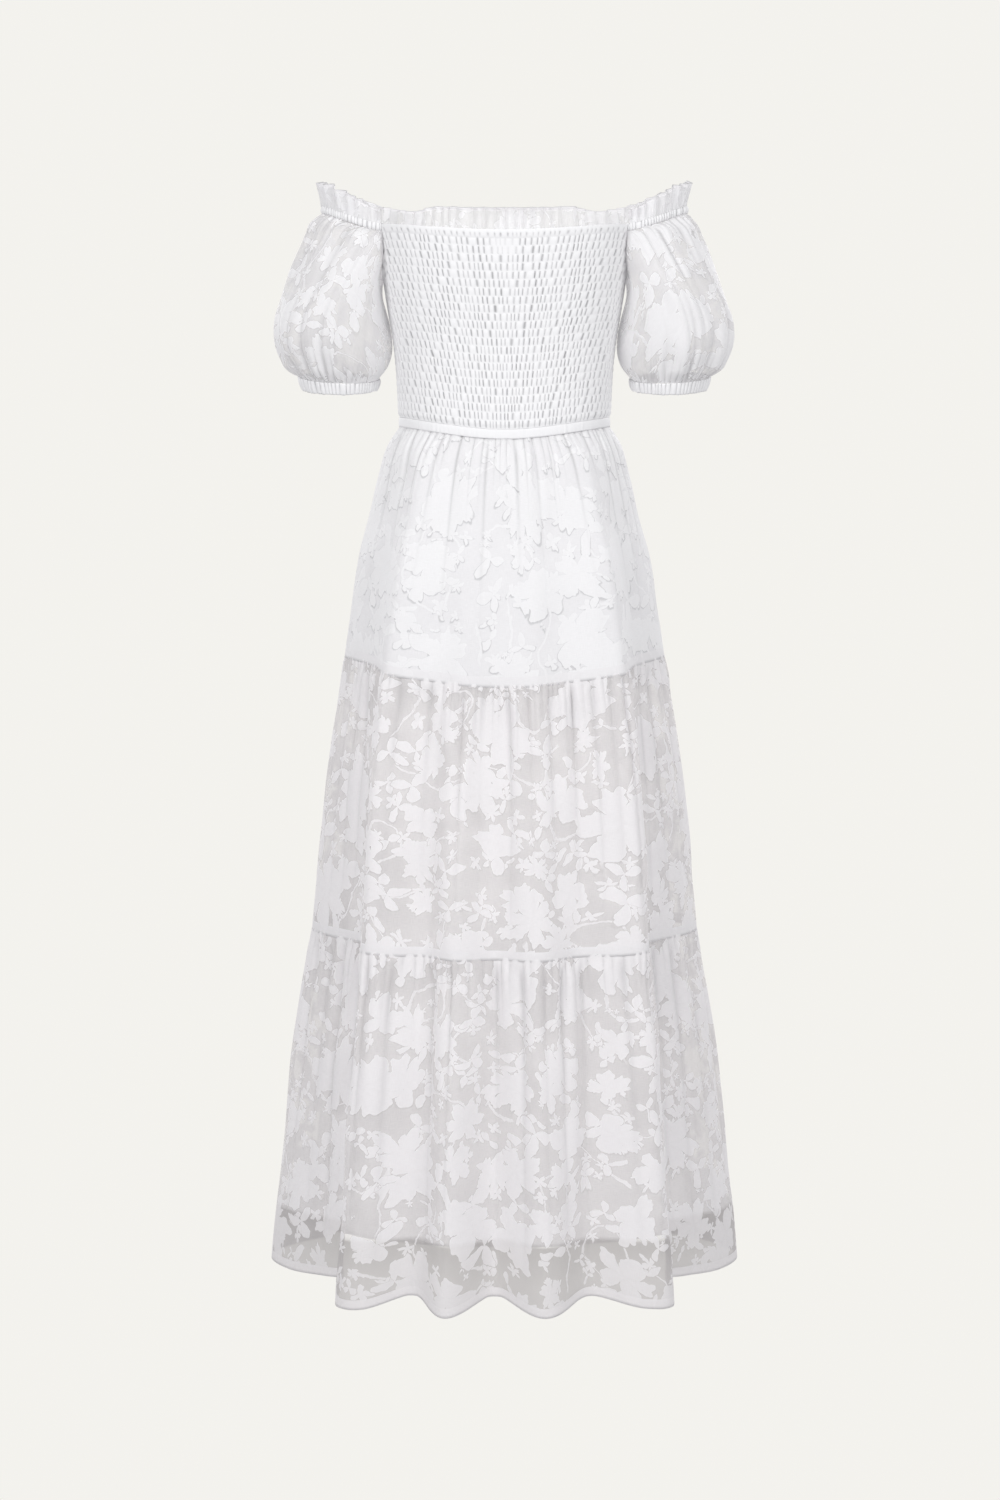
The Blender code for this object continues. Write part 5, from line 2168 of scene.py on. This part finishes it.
@dataclass
class Studio:
    """The pale floor, the soft lights and the camera.

    Fields:
        pale: colour of the floor and of the room.
        floor_z: the floor's height.
        floor_size: half the floor's side, in metres.
        camera_place: where the camera stands.
        camera_pitch: how far it looks down, in degrees.
        lens: its focal length, in millimetres.
        around: colour of the room's light.
        around_strength: how strong that light is.
        aim: the point that the lamps face.
        lamps: the lamps, near the camera and behind the dress.
    """

    pale: Colour = (0.899, 0.888, 0.852)
    floor_z: float = -1.62
    floor_size: float = 24.0
    camera_place: Place = (-0.00495, -3.19220, -0.35578)
    camera_pitch: float = 4.0
    lens: float = 69.816
    around: Colour = (0.908, 0.908, 0.930)
    around_strength: float = 0.585
    aim: Place = (0.0, 0.0, -0.5)
    lamps: tuple[Lamp, ...] = (
        Lamp("key", (-1.78, -2.58, 1.00), 1.4, 41.8),
        Lamp("fill", (1.78, -2.58, 0.90), 1.8, 37.2),
        Lamp("far_key", (1.78, 2.58, 1.00), 1.4, 39.6),
        Lamp("far_fill", (-1.78, 2.58, 0.90), 1.8, 35.2),
    )

    def build(self) -> None:
        """Makes the floor, the world, the lights and the camera."""
        self.build_floor()
        self.build_world()
        for lamp in self.lamps:
            self.build_lamp(lamp)
        self.build_camera()
        bpy.context.scene.view_settings.view_transform = "Standard"

    def build_camera(self) -> None:
        """Makes the camera, at the photo's viewing angle."""
        lens = bpy.data.cameras.new("camera")
        lens.lens = self.lens
        lens.sensor_width = 36.0
        lens.clip_end = 100.0
        camera = bpy.data.objects.new("camera", lens)
        bpy.context.scene.collection.objects.link(camera)
        camera.location = self.camera_place
        camera.rotation_euler = (math.radians(90.0 - self.camera_pitch), 0.0, 0.0)
        bpy.context.scene.camera = camera

    def build_world(self) -> None:
        """Makes the pale room, seen at its own colour and lighting the dress with less."""
        world = bpy.data.worlds.new("pale_room")
        bpy.context.scene.world = world
        world.use_nodes = True
        tree = world.node_tree
        tree.nodes.clear()
        shown, light = (tree.nodes.new("ShaderNodeBackground") for _ in range(2))
        shown.inputs["Color"].default_value = (*self.pale, 1.0)
        light.inputs["Color"].default_value = (*self.around, 1.0)
        light.inputs["Strength"].default_value = self.around_strength
        ray = tree.nodes.new("ShaderNodeLightPath")
        either = tree.nodes.new("ShaderNodeMixShader")
        output = tree.nodes.new("ShaderNodeOutputWorld")
        tree.links.new(ray.outputs["Is Camera Ray"], either.inputs[0])
        tree.links.new(light.outputs[0], either.inputs[1])
        tree.links.new(shown.outputs[0], either.inputs[2])
        tree.links.new(either.outputs[0], output.inputs["Surface"])

    def build_floor(self) -> None:
        """Makes the floor, as bright as the room, so that it has no hard edge or shadow."""
        mesh = bmesh.new()
        bmesh.ops.create_grid(mesh, x_segments=8, y_segments=8, size=self.floor_size)
        data = bpy.data.meshes.new("floor")
        mesh.to_mesh(data)
        mesh.free()
        floor = bpy.data.objects.new("floor", data)
        bpy.context.scene.collection.objects.link(floor)
        floor.location = (0.0, 0.0, self.floor_z)
        plan = Plan("pale_floor")
        inputs = {"Color": (*self.pale, 1.0), "Strength": 1.0}
        shader = plan.node("ShaderNodeEmission", {}, inputs)
        for kind in ("diffuse", "glossy", "transmission", "shadow"):
            setattr(floor, f"visible_{kind}", False)
        data.materials.append(plan.finish(shader.outputs[0]))

    def build_lamp(self, lamp: Lamp) -> None:
        """Makes one lamp and turns it to the dress.

        Args:
            lamp: the lamp.
        """
        light = bpy.data.lights.new(lamp.name, "AREA")
        light.shape = "SQUARE"
        light.size = lamp.size
        light.energy = lamp.power
        made = bpy.data.objects.new(lamp.name, light)
        bpy.context.scene.collection.objects.link(made)
        towards = np.array(self.aim) - np.array(lamp.place)
        flat = math.hypot(towards[0], towards[1])
        made.location = lamp.place
        made.rotation_euler = (
            math.atan2(flat, -towards[2]),
            0.0,
            math.atan2(towards[1], towards[0]) - math.pi / 2.0,
        )


TIERS = (
    SkirtTier(
        "first_tier",
        Seam.WAIST,
        Seam.TIER_1,
        Cut(1.12, 0.262, Held.GATHERED, ("waistband",)),
        676,
        ((0.060, 0.0020), (0.2400, 0.0045), (0.2402, 0.0002), (0.2511, 0.0035)),
        0.0110,
        (
            Gathers(74, 0.0034, 0.028, start=0.6, rise=0.006, seed=11, valley=0.20),
            Gathers(31, 0.0058, 0.075, start=0.25, rise=0.022, seed=12, valley=0.14),
        ),
        Dents(0.0014, 0.09, 0.12, 13),
    ),
    SkirtTier(
        "second_tier",
        Seam.TIER_1,
        Seam.TIER_2,
        Cut(1.50, 0.311, Held.GATHERED, ("first_tier",)),
        840,
        ((0.055, 0.0022), (0.2886, 0.0046), (0.2888, 0.0002), (0.2998, 0.0036)),
        0.0110,
        (
            Gathers(112, 0.0040, 0.030, start=0.45, rise=0.006, seed=14),
            Gathers(43, 0.0105, 0.120, start=0.12, rise=0.022, rest=0.15, seed=15),
        ),
        Dents(0.0016, 0.07, 0.12, 16),
    ),
    SkirtTier(
        "third_tier",
        Seam.TIER_2,
        Seam.HEM,
        Cut(2.00, 0.374, Held.GATHERED, ("second_tier",)),
        900,
        ((0.055, 0.0023), (0.3533, 0.0048), (0.3535, 0.0002), (0.3635, 0.0034)),
        0.0100,
        (
            Gathers(126, 0.0040, 0.032, start=0.45, rise=0.006, seed=17),
            Gathers(47, 0.0110, 0.150, start=0.12, rise=0.024, rest=0.15, seed=18),
        ),
        Dents(0.0018, 0.06, 0.14, 19),
    ),
)


def main() -> None:
    """Builds the dress, piece by piece, and the studio round it."""
    logging.basicConfig(level=logging.INFO, format="%(message)s")
    sheer = SHEER.build()
    smocked = SMOCKED.build()
    trim = TRIM.build()
    Bodice().build(smocked, LINED_FLORAL.build())
    Waistband().build(trim)
    Neckline().build(trim, FRILL_CLOTH.build())
    sleeve = SLEEVE_CLOTH.build()
    for side, seed in ((Side.LEFT, 50), (Side.RIGHT, 60)):
        Sleeve(side, seed=seed).build(sleeve, trim)
    close_lit = CLOSE_LIT_FLORAL.build()
    for tier in TIERS:
        tier.build(close_lit if tier.top is Seam.WAIST else sheer)
    Slip().build(SLIP_CLOTH.build())
    Studio().build()


if __name__ == "__main__":
    main()
